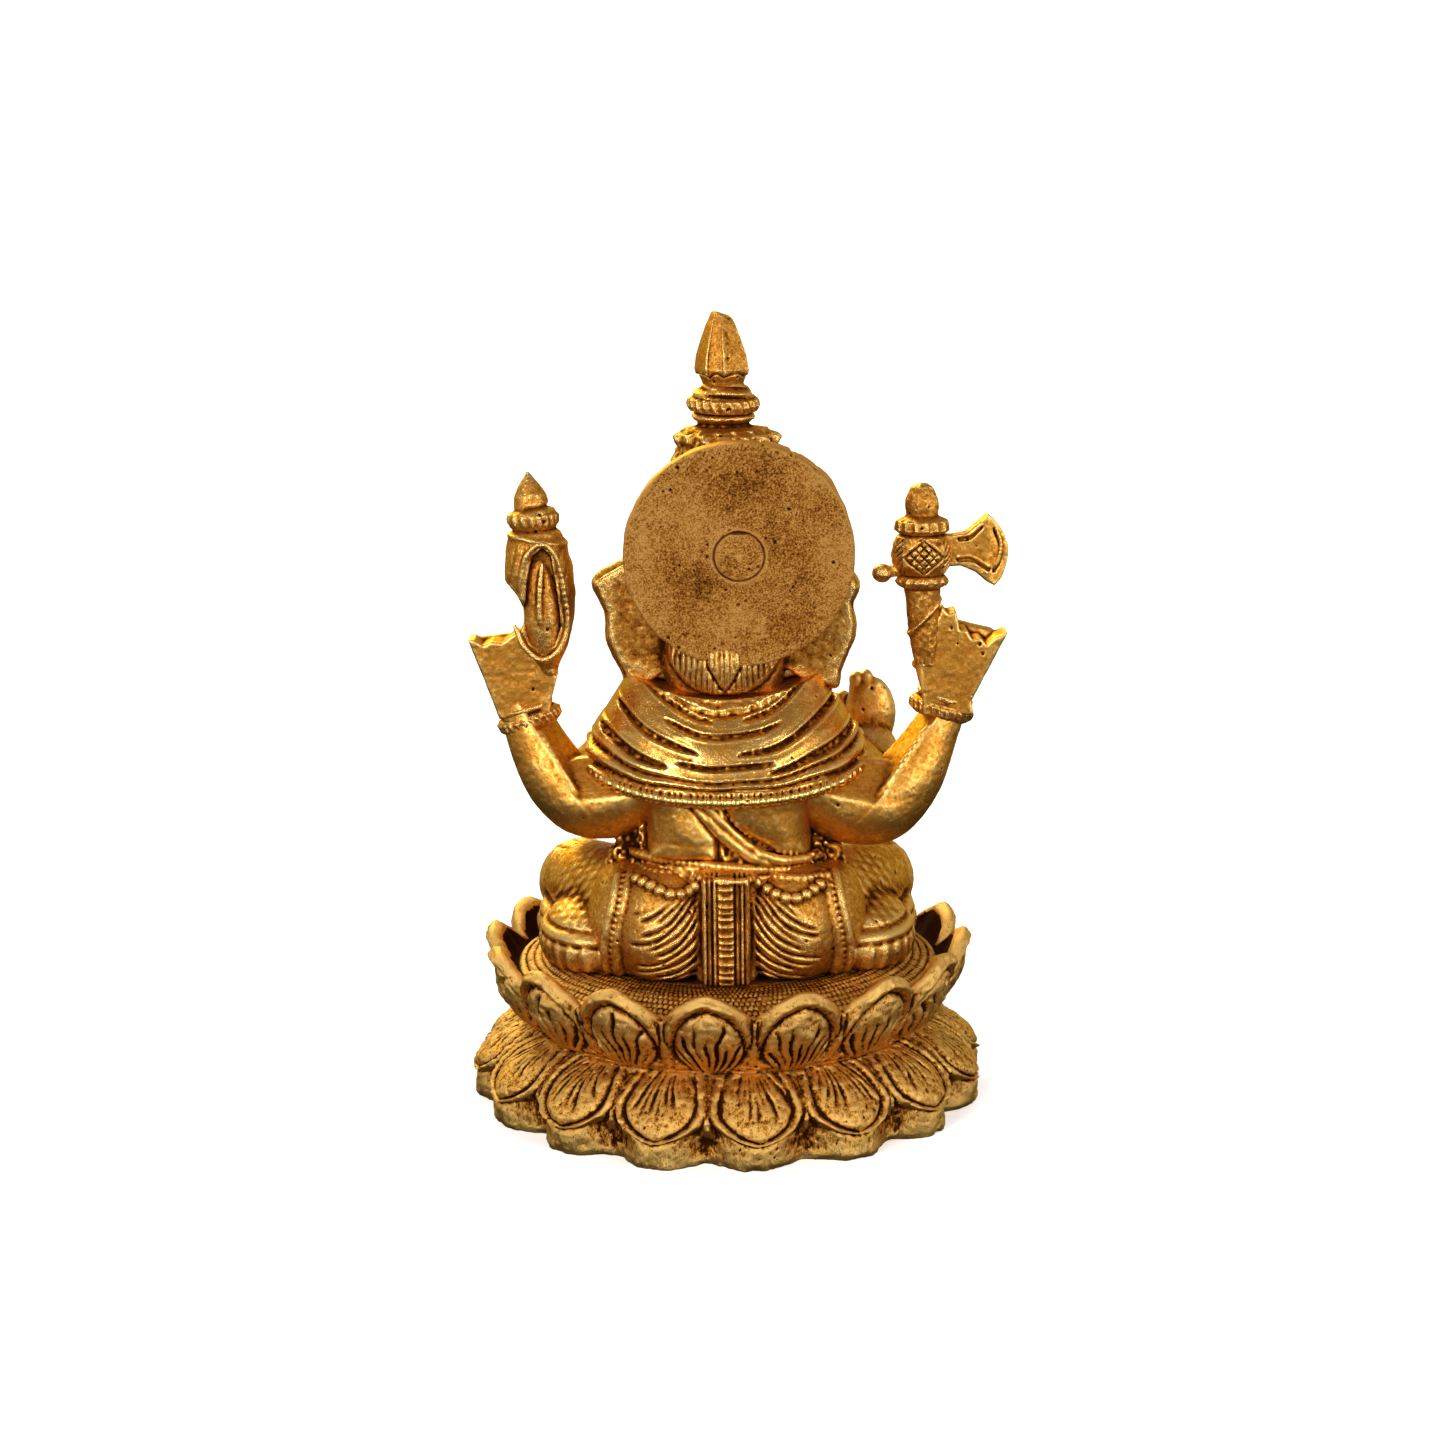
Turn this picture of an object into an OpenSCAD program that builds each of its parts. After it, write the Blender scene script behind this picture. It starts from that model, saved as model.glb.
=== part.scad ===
// Seated elephant-headed deity on a double lotus, cast in brass sections that are pinned and brazed together.
// Units are millimetres. The figure faces -Y, its left side is +X, and the foot of the lotus stands on Z = 0.

/* [Lotus pedestal] */
// Number of petals in each tier
petal_count = 16; // [14:1:18]
// Radius of the scalloped foot, over its lobes
foot_r = 50.6; // [50:0.1:53]
// Height of the scalloped foot
foot_h = 5; // [4:0.5:6]
// Height of the joint between the two tiers
waist_z = 15; // [14:0.5:16]
// Height of the seat that the figure rests on
seat_z = 29.6; // [29:0.1:30.2]
// Radius of the hollow under the pedestal
hollow_r = 34; // [30:0.5:35]

/* [Halo] */
// Radius of the flat disc behind the head
halo_r = 21.6; // [19:0.1:22.5]
// Thickness of the disc
halo_t = 2.6; // [2:0.1:3.2]
// Radius of the rivet that holds the disc
rivet_r = 4.7; // [3:0.1:5]
// Lean of the disc, top edge to the back
halo_lean = 7.5; // [0:0.5:10]

/* [Crown] */
// Radius of the beaded collar under the bud
collar_r = 6.8; // [6:0.1:7]
// Radius of the bud at its widest
bud_r = 5.2; // [5:0.1:6]
// Number of flat facets on the bud
bud_facets = 8; // [6:1:10]
// Height of the bud's flat tip above the table
statue_h = 152; // [150:0.5:156]

/* [Arms and fasteners] */
// Outer radius of the rear bangles
bangle_r = 6.6; // [6.2:0.1:7]
// Radius of the joint dowels
dowel_r = 1.5; // [1.2:0.1:1.8]
// Radius of the screw that holds the figure to the pedestal
screw_r = 2.5; // [2:0.1:3]

/* [Hidden] */
$fn = 48;

brass = "#c9983f";
worn_brass = "#d6ab55";
steel = "silver";
fit = 0.15;               // clearance round a dowel or screw
blob_fn = 20;             // facets round a blended solid
dowel_half = 7.4;         // how far a dowel reaches into each of its two holes
hole_half = 8;            // depth of a dowel hole
past = 2;                 // how far a cut runs past the face that it opens
body_dowel_r = dowel_r + 1;

// Joint points of the figure
torso_z = 64;             // joint between the seated body and the shawl torso
neck = [0, 4, 84];        // joint between the shawl torso and the head
crown_foot = [-0.9, 3];   // axis of the crown's joint with the head
crown_z = 120.8;          // height of that joint
crown_x = -0.2;           // axis of the crown's collar and bud
bud_z = 138.8;            // foot of the bud
halo_at = [-2.9, 16.2, 109]; // centre of the disc's front face
left_shoulder = [19, 10, 64.6];
left_elbow = [29.8, 9, 61.2];
left_wrist = [37.6, 6, 76.6];
right_shoulder = [-20, 10, 64.6];
right_elbow = [-31.3, 9, 59.8];
right_wrist = [-41.4, 6, 77];
front_left_shoulder = [20, -5, 67];
front_left_elbow = [30, -13, 55];
front_left_wrist = [20, -25, 55];
front_left_palm = [14.6, -31, 55.6];
front_right_shoulder = [-20, -5, 67];
front_right_elbow = [-31.5, -12, 54.5];
front_right_wrist = [-29.5, -19, 65];
front_right_palm = [-29, -21.4, 71.5];
bowl_at = [13.4, -32.6, 57.4];
rear_arms = [[left_shoulder, left_elbow], [right_shoulder, right_elbow]];
front_arms = [[front_left_shoulder, front_left_elbow], [front_right_shoulder, front_right_elbow]];
rear_shoulder_r = 8;
rear_elbow_r = 7.2;
rear_wrist_r = 4.8;
front_shoulder_r = 6.9;
bangle_drop = 2.4;        // the end of a rear forearm, below the wrist point
wrist_peg_r = 2.2;        // peg of a rear hand, through the bangle into the forearm

function tilt_of(v) = acos(v[2] / norm(v));
function turn_of(v) = atan2(v[1], v[0]);

// Places its children with their Z axis from a towards b
module along(a, b) {
    v = b - a;
    translate(a) rotate([0, tilt_of(v), turn_of(v)]) children();
}

// The direction from a to b, as a unit vector
function way(a, b) = (b - a) / norm(b - a);

// A dowel centred on a joint point, lying from a towards b
module dowel(a, b) {
    along(a - dowel_half * way(a, b), b) cylinder(h = 2 * dowel_half, r = dowel_r);
}

// The hole that the dowel sits in, in both of the pieces that meet at a
module dowel_hole(a, b) {
    along(a - (hole_half + past) * way(a, b), b) cylinder(h = 2 * hole_half + past, r = dowel_r + fit);
}

// A blended solid round two spheres, which becomes facets
module blob(a, ra, b, rb) {
    hull() {
        translate(a) sphere(ra, $fn = blob_fn);
        translate(b) sphere(rb, $fn = blob_fn);
    }
}

// An ellipsoid, which becomes facets inside a blended node
module egg(at, radii) {
    hull() translate(at) scale(radii) sphere(1, $fn = 28);
}

// A limb of true round surfaces: a ball at each end and a cone between them
module limb(a, ra, b, rb) {
    translate(a) sphere(ra);
    translate(b) sphere(rb);
    along(a, b) cylinder(h = norm(b - a), r1 = ra * 0.98, r2 = rb * 0.98);
}

// A pointed oval with a domed face towards +Z and its long axis on Y
module petal(width, length, thick) {
    arc_r = (width * width / 4 + length * length / 4) / width;
    dome_r = (length * length / 4 + thick * thick) / (2 * thick);
    intersection() {
        translate([arc_r - width / 2, 0, -2]) cylinder(h = thick + 3, r = arc_r);
        translate([width / 2 - arc_r, 0, -2]) cylinder(h = thick + 3, r = arc_r);
        translate([0, 0, thick - dome_r]) sphere(dome_r);
    }
}

// ---- Lotus pedestal ----

lobe_r = 10.4;            // radius of one lobe of the scalloped foot
spigot_r = 36.9;          // the upper tier's spigot sits in the lower tier
spigot_h = 3;
lower_phase = 0.28;       // where each tier's first petal stands, in petal spacings
upper_phase = -0.22;
floor_z = seat_z - 5;     // ceiling of the hollow, under the seat
crown_hollow_r = 22;      // radius of the domed hollow at its ceiling

module lotus_lower_tier() {
    step = 360 / petal_count;
    color(brass) difference() {
        union() {
            linear_extrude(foot_h) union() {
                circle(foot_r - 4.4);
                for (i = [0 : petal_count - 1])
                    rotate((i + lower_phase) * step) translate([foot_r - lobe_r, 0]) circle(lobe_r);
            }
            cylinder(h = waist_z, r1 = foot_r - 4.6, r2 = 39.6);
            for (i = [0 : petal_count - 1])
                rotate([0, 0, (i + lower_phase) * step]) translate([43.6, 0, 9.4])
                    rotate([0, 52, 0]) rotate(90) petal(17.4, 20, 4.2);
        }
        translate([0, 0, -1]) cylinder(h = waist_z + 8, r = hollow_r);
        translate([0, 0, waist_z - spigot_h]) cylinder(h = 10, r = spigot_r);
        translate([0, 0, waist_z]) cylinder(h = 20, r = 60);
        translate([0, 0, -20]) cylinder(h = 20, r = 80);
    }
}

module lotus_upper_tier() {
    step = 360 / petal_count;
    color(brass) difference() {
        union() {
            translate([0, 0, waist_z]) cylinder(h = 10.5, r1 = 39.2, r2 = 43);
            translate([0, 0, waist_z + 10.4]) cylinder(h = seat_z - waist_z - 10.4, r = 42.2);
            translate([0, 0, waist_z - spigot_h]) cylinder(h = spigot_h + 1, r = spigot_r - fit);
            for (i = [0 : petal_count - 1])
                rotate([0, 0, (i + upper_phase) * step]) translate([43.4, 0, 24.4])
                    rotate([0, 76, 0]) rotate(90) petal(18.2, 20.5, 4.4);
        }
        translate([0, 0, waist_z - spigot_h - past]) cylinder(h = spigot_h + past, r = hollow_r - 1.5);
        translate([0, 0, waist_z]) cylinder(h = floor_z - waist_z, r1 = hollow_r - 1.5, r2 = crown_hollow_r);
        translate([0, 0, waist_z]) cylinder(h = 30, r = screw_r + fit);
        translate([0, 0, seat_z]) cylinder(h = 20, r1 = 40.4, r2 = 52);
        translate([0, 0, waist_z - spigot_h - 20]) cylinder(h = 20, r = 60);
    }
}

washer_t = 1.2;
screw_head_h = 2.6;

// The slotted screw that draws the figure down on the seat
module base_screw() {
    head_z = floor_z - washer_t - screw_head_h;
    color(steel) difference() {
        union() {
            translate([0, 0, head_z]) cylinder(h = screw_head_h, r = 2 * screw_r);
            translate([0, 0, head_z]) cylinder(h = 24, r = screw_r);
        }
        translate([-6, -0.6, head_z - 1]) cube([12, 1.2, 2.2]);
    }
}

module base_washer() {
    color(steel) translate([0, 0, floor_z - washer_t]) difference() {
        cylinder(h = washer_t, r = 7);
        translate([0, 0, -1]) cylinder(h = 4, r = screw_r + fit);
    }
}

// ---- Figure ----

module seated_body() {
    color(brass) difference() {
        union() {
            for (s = [-1, 1]) {
                egg([s * 11.6, 15.4, 39], [11.8, 14.6, 12]);
                blob([s * 18, 8, 38], 12.5, [s * 28, -19, 37], 8.6);
                blob([s * 27.5, -19, 36.8], 8.6, [s * 2, -31, 35.5], 5.6);
                blob([s * 24, 10, 38], 10.5, [s * 27, 0, 36], 9);
                blob([s * 8, -33, 34.5], 3.6, [s * 1, -34, 33.6], 3);
            }
            egg([0, -6, 54], [19.6, 18.6, 20]);
            blob([0, 8, 46], 19, [0, 6, 60], 17);
            blob([0, -22, 36], 9, [0, 0, 38], 14);
        }
        translate([-70, -70, -20]) cube([140, 140, 20 + seat_z]);
        translate([-70, -70, torso_z]) cube([140, 140, 60]);
        translate([0, 0, seat_z - 1]) cylinder(h = 20, r = screw_r + fit, $fn = 24);
        body_dowel_hole(torso_z);
        shoulder_room();
    }
}

// The room that the ball at the top of each arm takes from the figure
module shoulder_room() {
    for (p = rear_arms) translate(p[0]) sphere(rear_shoulder_r + 0.3, $fn = 28);
    for (p = front_arms) translate(p[0]) sphere(front_shoulder_r + 0.3, $fn = 28);
}

// The hole for an upright dowel that is centred on the height z of the figure's middle line
module body_dowel_hole(z) {
    translate([neck[0], neck[1], z - hole_half]) cylinder(h = 2 * hole_half, r = body_dowel_r + fit);
}

module shawl_torso() {
    color(worn_brass) difference() {
        union() {
            hull() {
                translate([0, 5, torso_z]) scale([1, 0.84, 1]) cylinder(h = 3, r = 21.5);
                translate([0, 6, torso_z + 4]) scale([1, 0.7, 1]) cylinder(h = 3, r = 27);
            }
            hull() {
                translate([0, 6, torso_z + 4]) scale([1, 0.7, 1]) cylinder(h = 3, r = 27);
                translate([0, 4, torso_z + 12]) scale([1, 0.72, 1]) cylinder(h = 2, r = 23.6);
            }
            hull() {
                translate([0, 4, torso_z + 12]) scale([1, 0.72, 1]) cylinder(h = 2, r = 23.6);
                translate([0, 4, neck[2] - 2]) scale([1, 0.76, 1]) cylinder(h = 2, r = 19.4);
            }
            for (s = [-1, 1]) {
                blob([s * 14, 8, 66], 11, [s * 18, 9, 66], 10);
                blob([s * 10, -6, 68], 10, [s * 17, -4, 68], 8);
            }
            blob([0, -8, 68], 13, [0, 2, 72], 14);
        }
        translate([-70, -70, -20]) cube([140, 140, 20 + torso_z]);
        translate([-70, -70, neck[2]]) cube([140, 140, 60]);
        body_dowel_hole(torso_z);
        body_dowel_hole(neck[2]);
        for (p = concat(rear_arms, front_arms)) dowel_hole(p[0], p[1]);
        shoulder_room();
    }
}

trunk = [[0, -17, 99], [0, -23.5, 93], [0.4, -26.4, 86], [1.6, -27.4, 79], [4, -28, 72.5],
         [8, -29.6, 67.5], [11.4, -31.4, 65]];
trunk_radii = [8.4, 7, 6.1, 5.2, 4.4, 3.6, 3];
trunk_tip_z = 63.4;

module ear(side) {
    hull() {
        translate([side * 14, 3, 108]) scale([1, 0.3, 1]) sphere(7, $fn = blob_fn);
        translate([side * 23.4, 7, 103]) scale([0.6, 0.35, 1]) sphere(4, $fn = blob_fn);
        translate([side * 20, 6, 92]) scale([1, 0.3, 1]) sphere(4, $fn = blob_fn);
    }
    hull() {
        translate([side * 20, 6, 92]) scale([1, 0.3, 1]) sphere(4, $fn = blob_fn);
        translate([side * 15, 5, 88]) scale([1, 0.3, 1]) sphere(4, $fn = blob_fn);
        translate([side * 12, 4, 100]) scale([1, 0.3, 1]) sphere(7, $fn = blob_fn);
    }
}

module head() {
    color(brass) difference() {
        union() {
            egg([0, -2, 106], [15.4, 15, 15]);
            egg([0, -5, 114], [13.4, 12, 9]);
            egg([0, -9, 98], [11, 11, 10.5]);
            hull() {
                translate([0, 5, neck[2]]) scale([1, 0.84, 1]) cylinder(h = 1, r = 12.4);
                translate([0, 4, neck[2] + 12]) scale([1, 0.86, 1]) cylinder(h = 1, r = 13.6);
            }
            for (i = [0 : len(trunk) - 2])
                blob(trunk[i], trunk_radii[i], trunk[i + 1], trunk_radii[i + 1]);
            for (s = [-1, 1]) ear(s);
        }
        translate([-70, -70, -20]) cube([140, 140, 20 + trunk_tip_z]);
        body_dowel_hole(neck[2]);
        translate([crown_foot[0], crown_foot[1], crown_z - hole_half]) cylinder(h = 16, r = dowel_r + fit);
        translate([-30, -40, crown_z]) cube([60, 80, 20]);
        halo_room();
        halo_frame() translate([0, 0, -9]) cylinder(h = 20, r = rivet_stem_r + fit);
        translate([-11.5, -11.5, 0]) cube([23, 60, neck[2]]);
        for (s = [-1, 1])
            tusk_frame(s) translate([0, 0, -5]) cylinder(h = 14, r = tusk_root_r + fit, $fn = 24);
    }
}

tusk_root_r = 1.3;

// Z along the tusk, from the cheek outwards
module tusk_frame(side) {
    root = [side * 8.4, -17, 93];
    along(root, root + [side * 0.35, -0.75, -0.56]) children();
}

module tusk(side, reach, tip_r) {
    color(worn_brass) tusk_frame(side) {
        translate([0, 0, -4.6]) cylinder(h = 4.7, r = tusk_root_r);
        cylinder(h = reach, r1 = 2.2, r2 = tip_r);
    }
}

// The left tusk is whole and the right one is the broken stump
module left_tusk() { tusk(1, 9.5, 0.8); }
module right_tusk() { tusk(-1, 4, 1.7); }

// The upright dowels of the waist joint and the neck joint
module body_dowels() {
    color(steel) for (z = [torso_z, neck[2]])
        translate([neck[0], neck[1], z - dowel_half]) cylinder(h = 2 * dowel_half, r = body_dowel_r);
}

// ---- Crown ----

module crown_base() {
    color(brass) difference() {
        union() {
            translate([crown_foot[0], crown_foot[1], crown_z]) rotate_extrude() polygon([
                [0, 0], [10.8, 0], [11, 2.6], [10, 5], [9.2, 7.6], [7.4, 9.8], [5, 10.6], [0, 10.6]
            ]);
            for (i = [0 : 9])
                translate([crown_foot[0], crown_foot[1], crown_z + 7])
                    rotate([0, 0, i * 36]) translate([7.6, 0, 0]) sphere(2.4);
            translate([crown_x, crown_foot[1], 0]) rotate_extrude() polygon([
                [0, 130], [4.8, 130], [5, 131.4], [5.9, 132.8], [5.9, 133.6], [collar_r - 0.5, 134],
                [collar_r, 134.9], [collar_r - 0.1, 136.4], [5.2, 137.6], [3.9, 138.2], [3.8, bud_z],
                [0, bud_z]
            ]);
        }
        translate([crown_foot[0], crown_foot[1], crown_z - past]) cylinder(h = 9, r = dowel_r + fit);
        translate([crown_x, crown_foot[1], bud_z - 6]) cylinder(h = 9, r = dowel_r + fit);
        halo_room();
    }
}

module crown_bud() {
    color(worn_brass) translate([crown_x, crown_foot[1], 0]) union() {
        translate([0, 0, bud_z - 5.6]) cylinder(h = 6, r = dowel_r);
        hull() {
            translate([0, 0, bud_z]) cylinder(h = 0.4, r = 3.8, $fn = bud_facets);
            translate([0, 0, bud_z + 2.6]) cylinder(h = 0.6, r = bud_r, $fn = bud_facets);
            translate([0, 0, bud_z + 8.4]) cylinder(h = 0.5, r = 0.72 * bud_r, $fn = bud_facets);
            translate([0.3, 0, statue_h - 0.5]) cylinder(h = 0.5, r = 1.6, $fn = bud_facets);
        }
    }
}

module crown_dowel() {
    color(steel) translate([crown_foot[0], crown_foot[1], crown_z - dowel_half]) cylinder(h = 13, r = dowel_r);
}

// ---- Halo ----

// Z along the disc's axis, pointing to the back, with the disc's front face at Z = 0
module halo_frame() {
    translate(halo_at) rotate([-90 - halo_lean, 0, 0]) children();
}

// The room that the disc takes from the head and the crown in front of it
module halo_room() {
    halo_frame() translate([0, 0, -0.05]) cylinder(h = 20, r = halo_r + 2);
}

rivet_stem_r = rivet_r - 1.4;

module halo_disc() {
    color(worn_brass) halo_frame() difference() {
        cylinder(h = halo_t, r = halo_r);
        translate([0, 0, -1]) cylinder(h = halo_t + 2, r = rivet_r + 0.05);
    }
}

module halo_rivet() {
    color(worn_brass) halo_frame() union() {
        cylinder(h = halo_t + 0.1, r = rivet_r);
        translate([0, 0, -8]) cylinder(h = 8.4, r = rivet_stem_r);
    }
}

// ---- Rear arms ----

module rear_arm(shoulder, elbow, wrist) {
    up = way(elbow, wrist);
    color(brass) difference() {
        union() {
            limb(shoulder, rear_shoulder_r, elbow, rear_elbow_r + 0.1);
            limb(elbow, rear_elbow_r, wrist - 2 * up, rear_wrist_r);
        }
        dowel_hole(shoulder, elbow);
        along(wrist - bangle_drop * up, wrist) cylinder(h = 12, r = 12);
        along(wrist - 7 * up, wrist) cylinder(h = 8, r = wrist_peg_r + fit);
    }
}

module rear_left_arm() { rear_arm(left_shoulder, left_elbow, left_wrist); }
module rear_right_arm() { rear_arm(right_shoulder, right_elbow, right_wrist); }

module rear_arm_dowels() {
    color(steel) for (p = rear_arms) dowel(p[0], p[1]);
}

// The outside of a bangle, closed, with its lower face on the end of the forearm
module bangle_blank(elbow, wrist) {
    along(wrist - bangle_drop * way(elbow, wrist), wrist) rotate_extrude() polygon([
        [0, 0], [5.2, 0], [bangle_r - 0.4, 0.7], [bangle_r, 1.9], [bangle_r - 0.4, 3.2],
        [5.2, 4], [0, 4]
    ]);
}

module wrist_peg(elbow, wrist, r) {
    along(wrist - 6.6 * way(elbow, wrist), wrist) cylinder(h = 11, r = r);
}

module bangle(elbow, wrist) {
    color(worn_brass) difference() {
        bangle_blank(elbow, wrist);
        wrist_peg(elbow, wrist, wrist_peg_r + fit);
    }
}

module rear_left_bangle() { bangle(left_elbow, left_wrist); }
module rear_right_bangle() { bangle(right_elbow, right_wrist); }

// A flat hand with its outline in the XZ plane, on the peg that joins it to the forearm
module rear_hand(elbow, wrist, outline) {
    front_y = 3;
    back_y = 8.4;
    union() {
        difference() {
            translate([0, back_y, 0]) rotate([90, 0, 0]) linear_extrude(back_y - front_y) polygon(outline);
            bangle_blank(elbow, wrist);
        }
        wrist_peg(elbow, wrist, wrist_peg_r);
    }
}

module rear_left_hand() {
    color(brass) difference() {
        rear_hand(left_elbow, left_wrist, [
            [42.6, 78], [45.2, 82.8], [48.6, 91.6], [45.8, 90.6], [42.1, 91.2], [38.6, 94],
            [34, 92], [31.6, 88], [31.8, 84.6], [33.2, 80], [37, 77.5]
        ]);
        conch_blank();
    }
}

module rear_right_hand() {
    color(brass) difference() {
        rear_hand(right_elbow, right_wrist, [
            [-38, 78.6], [-37, 81], [-35.4, 91], [-36.6, 95], [-41, 97.6], [-44.2, 97.2],
            [-44.2, 94], [-46.4, 92], [-49.7, 90.4], [-52.2, 91.6], [-47, 80]
        ]);
        axe_shaft_blank();
    }
}

module conch_blank() {
    along([32.9, 10.2, 85.5], [36.5, 8, 123.4]) rotate_extrude() polygon([
        [0, 0], [1.8, 0], [4.4, 4.6], [6, 10.6], [6.6, 17.5], [6.2, 22.5], [5.2, 26.5], [4.5, 28],
        [4.4, 30.4], [3.4, 31.2], [3.1, 33.6], [1.8, 36.6], [0.6, 38.1], [0, 38.1]
    ]);
}

module conch() {
    color(brass) conch_blank();
}

axe_x = -37.4;            // the shaft's axis
axe_y = 9.6;
tang = [13, 1.8, 2.8];    // the tang of the blade, through the drum of the shaft
tang_z = 107.5;

module axe_shaft_blank() {
    translate([axe_x, axe_y, 0]) rotate_extrude() polygon([
        [0, 86], [1.8, 86], [2.9, 92], [3.3, 100.8], [4.7, 101.3], [4.8, 103], [4.4, 103.5],
        [5.7, 106.4], [5.7, 109], [4.9, 110.7], [5.2, 111.2], [4.8, 113.6], [3.2, 114.6],
        [3.1, 117.4], [2.1, 119.8], [0.8, 120.8], [0, 120.8]
    ]);
}

module axe_shaft() {
    color(brass) difference() {
        union() {
            axe_shaft_blank();
            translate([axe_x + 6.7, axe_y, 104.2]) sphere(2);
        }
        translate([axe_x - 8, axe_y - tang[1] / 2 - 0.05, tang_z - 0.05])
            cube([16, tang[1] + 0.1, tang[2] + 0.1]);
    }
}

module axe_blade() {
    thick = 3.4;
    color(worn_brass) union() {
        translate([0, axe_y + thick / 2, 0]) rotate([90, 0, 0]) linear_extrude(thick) intersection() {
            polygon([
                [axe_x - 5.9, 105.6], [axe_x - 5.9, 110.8], [-45.2, 111.4], [-49.7, 114.9],
                [-55, 112], [-55, 104], [-51.1, 101.6], [-47.5, 103.9], [-45, 105.2]
            ]);
            translate([-42.5, 108.4]) circle(9.85);
        }
        translate([axe_x - 6.4, axe_y - tang[1] / 2, tang_z]) cube(tang);
    }
}

// ---- Front arms ----

module front_arm(shoulder, elbow, wrist) {
    difference() {
        union() {
            limb(shoulder, front_shoulder_r, elbow, 5.7);
            limb(elbow, 5.6, wrist, 4.1);
        }
        dowel_hole(shoulder, elbow);
    }
}

// The raised palm, with its fingers up and its face to the front
module front_right_arm() {
    color(brass) union() {
        front_arm(front_right_shoulder, front_right_elbow, front_right_wrist);
        translate(front_right_palm) rotate([86, 0, 0]) cylinder(h = 3.4, r = 6.2, center = true);
        for (i = [0 : 3])
            translate(front_right_palm + [2.6 * i - 4, 0.2, 2.6]) cylinder(h = 6 - abs(i - 1.6), r = 1.5);
    }
}

// The level palm that carries the bowl
module front_left_arm() {
    color(brass) difference() {
        union() {
            front_arm(front_left_shoulder, front_left_elbow, front_left_wrist);
            limb(front_left_wrist, 3.9, front_left_palm, 2.8);
            translate([bowl_at[0], bowl_at[1], bowl_at[2] - 3]) cylinder(h = 3, r = 4.6);
        }
        translate(bowl_at) cylinder(h = 9, r = 6);
    }
}

module front_arm_dowels() {
    color(steel) for (p = front_arms) dowel(p[0], p[1]);
}

module sweet_bowl() {
    color(worn_brass) translate(bowl_at) union() {
        cylinder(h = 3, r1 = 4.4, r2 = 5.6);
        for (i = [0 : 4])
            rotate([0, 0, i * 72]) translate([2.7, 0, 3.6]) sphere(1.9);
    }
}

lotus_lower_tier();
lotus_upper_tier();
base_screw();
base_washer();
seated_body();
shawl_torso();
head();
left_tusk();
right_tusk();
body_dowels();
crown_base();
crown_bud();
crown_dowel();
halo_disc();
halo_rivet();
rear_left_arm();
rear_right_arm();
rear_arm_dowels();
rear_left_bangle();
rear_right_bangle();
rear_left_hand();
rear_right_hand();
conch();
axe_shaft();
axe_blade();
front_left_arm();
front_right_arm();
front_arm_dowels();
sweet_bowl();
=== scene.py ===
"""Looks of a cast brass statue: a seated four-armed, elephant-headed deity on a double lotus.

Lengths are millimetres until a mesh is built, and +Y is the statue's back. Round pieces are rings of
points with a relief worked out by formula. The figure is sculpted as clay: a grid of signed distances,
in which shapes are added and cut, and which is then turned into a mesh.
"""

import math

import bpy
import numpy as np
import openvdb
from mathutils import Matrix, Vector


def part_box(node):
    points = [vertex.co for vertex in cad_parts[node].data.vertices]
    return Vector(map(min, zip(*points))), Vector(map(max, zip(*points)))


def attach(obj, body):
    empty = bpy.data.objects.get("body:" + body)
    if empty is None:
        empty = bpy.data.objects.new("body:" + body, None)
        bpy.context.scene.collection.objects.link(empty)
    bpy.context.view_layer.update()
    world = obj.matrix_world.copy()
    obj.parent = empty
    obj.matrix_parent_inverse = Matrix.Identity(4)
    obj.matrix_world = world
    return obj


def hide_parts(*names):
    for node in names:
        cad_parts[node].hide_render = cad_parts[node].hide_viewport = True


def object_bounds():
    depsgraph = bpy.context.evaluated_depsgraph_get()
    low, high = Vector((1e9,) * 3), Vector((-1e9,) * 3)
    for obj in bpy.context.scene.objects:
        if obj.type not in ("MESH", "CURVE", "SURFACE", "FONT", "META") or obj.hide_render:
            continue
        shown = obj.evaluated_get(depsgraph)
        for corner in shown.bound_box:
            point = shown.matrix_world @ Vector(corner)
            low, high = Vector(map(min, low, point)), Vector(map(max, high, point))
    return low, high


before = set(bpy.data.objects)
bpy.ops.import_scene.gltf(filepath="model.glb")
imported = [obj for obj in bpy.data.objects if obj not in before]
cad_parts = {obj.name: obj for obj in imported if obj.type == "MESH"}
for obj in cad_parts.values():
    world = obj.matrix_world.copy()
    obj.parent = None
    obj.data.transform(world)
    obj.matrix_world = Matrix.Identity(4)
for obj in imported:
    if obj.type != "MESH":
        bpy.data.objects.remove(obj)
CAD_BOX = [list(corner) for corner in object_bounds()]
MM = 0.001


def node_mm(node):
    """The lowest and highest corners of a CAD node, in millimetres."""
    low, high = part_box(node)
    return np.array(low) / MM, np.array(high) / MM


# ---------------------------------------------------------------- numbers

def smooth(edge0, edge1, value):
    """0 below edge0, 1 above edge1, and a soft step between."""
    t = np.clip((value - edge0) / (edge1 - edge0), 0, 1)
    return t * t * (3 - 2 * t)


def bump_at(value, middle, half_width):
    """A soft bump of height 1 at middle, gone about two half widths away."""
    return np.exp(-((value - middle) / half_width) ** 2)


def ridges(value, pitch, half_width):
    """Soft bumps of height 1 at every whole number of pitches."""
    return bump_at(value / pitch - np.round(value / pitch), 0, half_width / pitch)


HASH_X, HASH_Y, HASH_Z, HASH_AGAIN = 374761393, 668265263, 1103515245, 1274126177
POSITIVE = 0x7FFFFFFF


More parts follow.
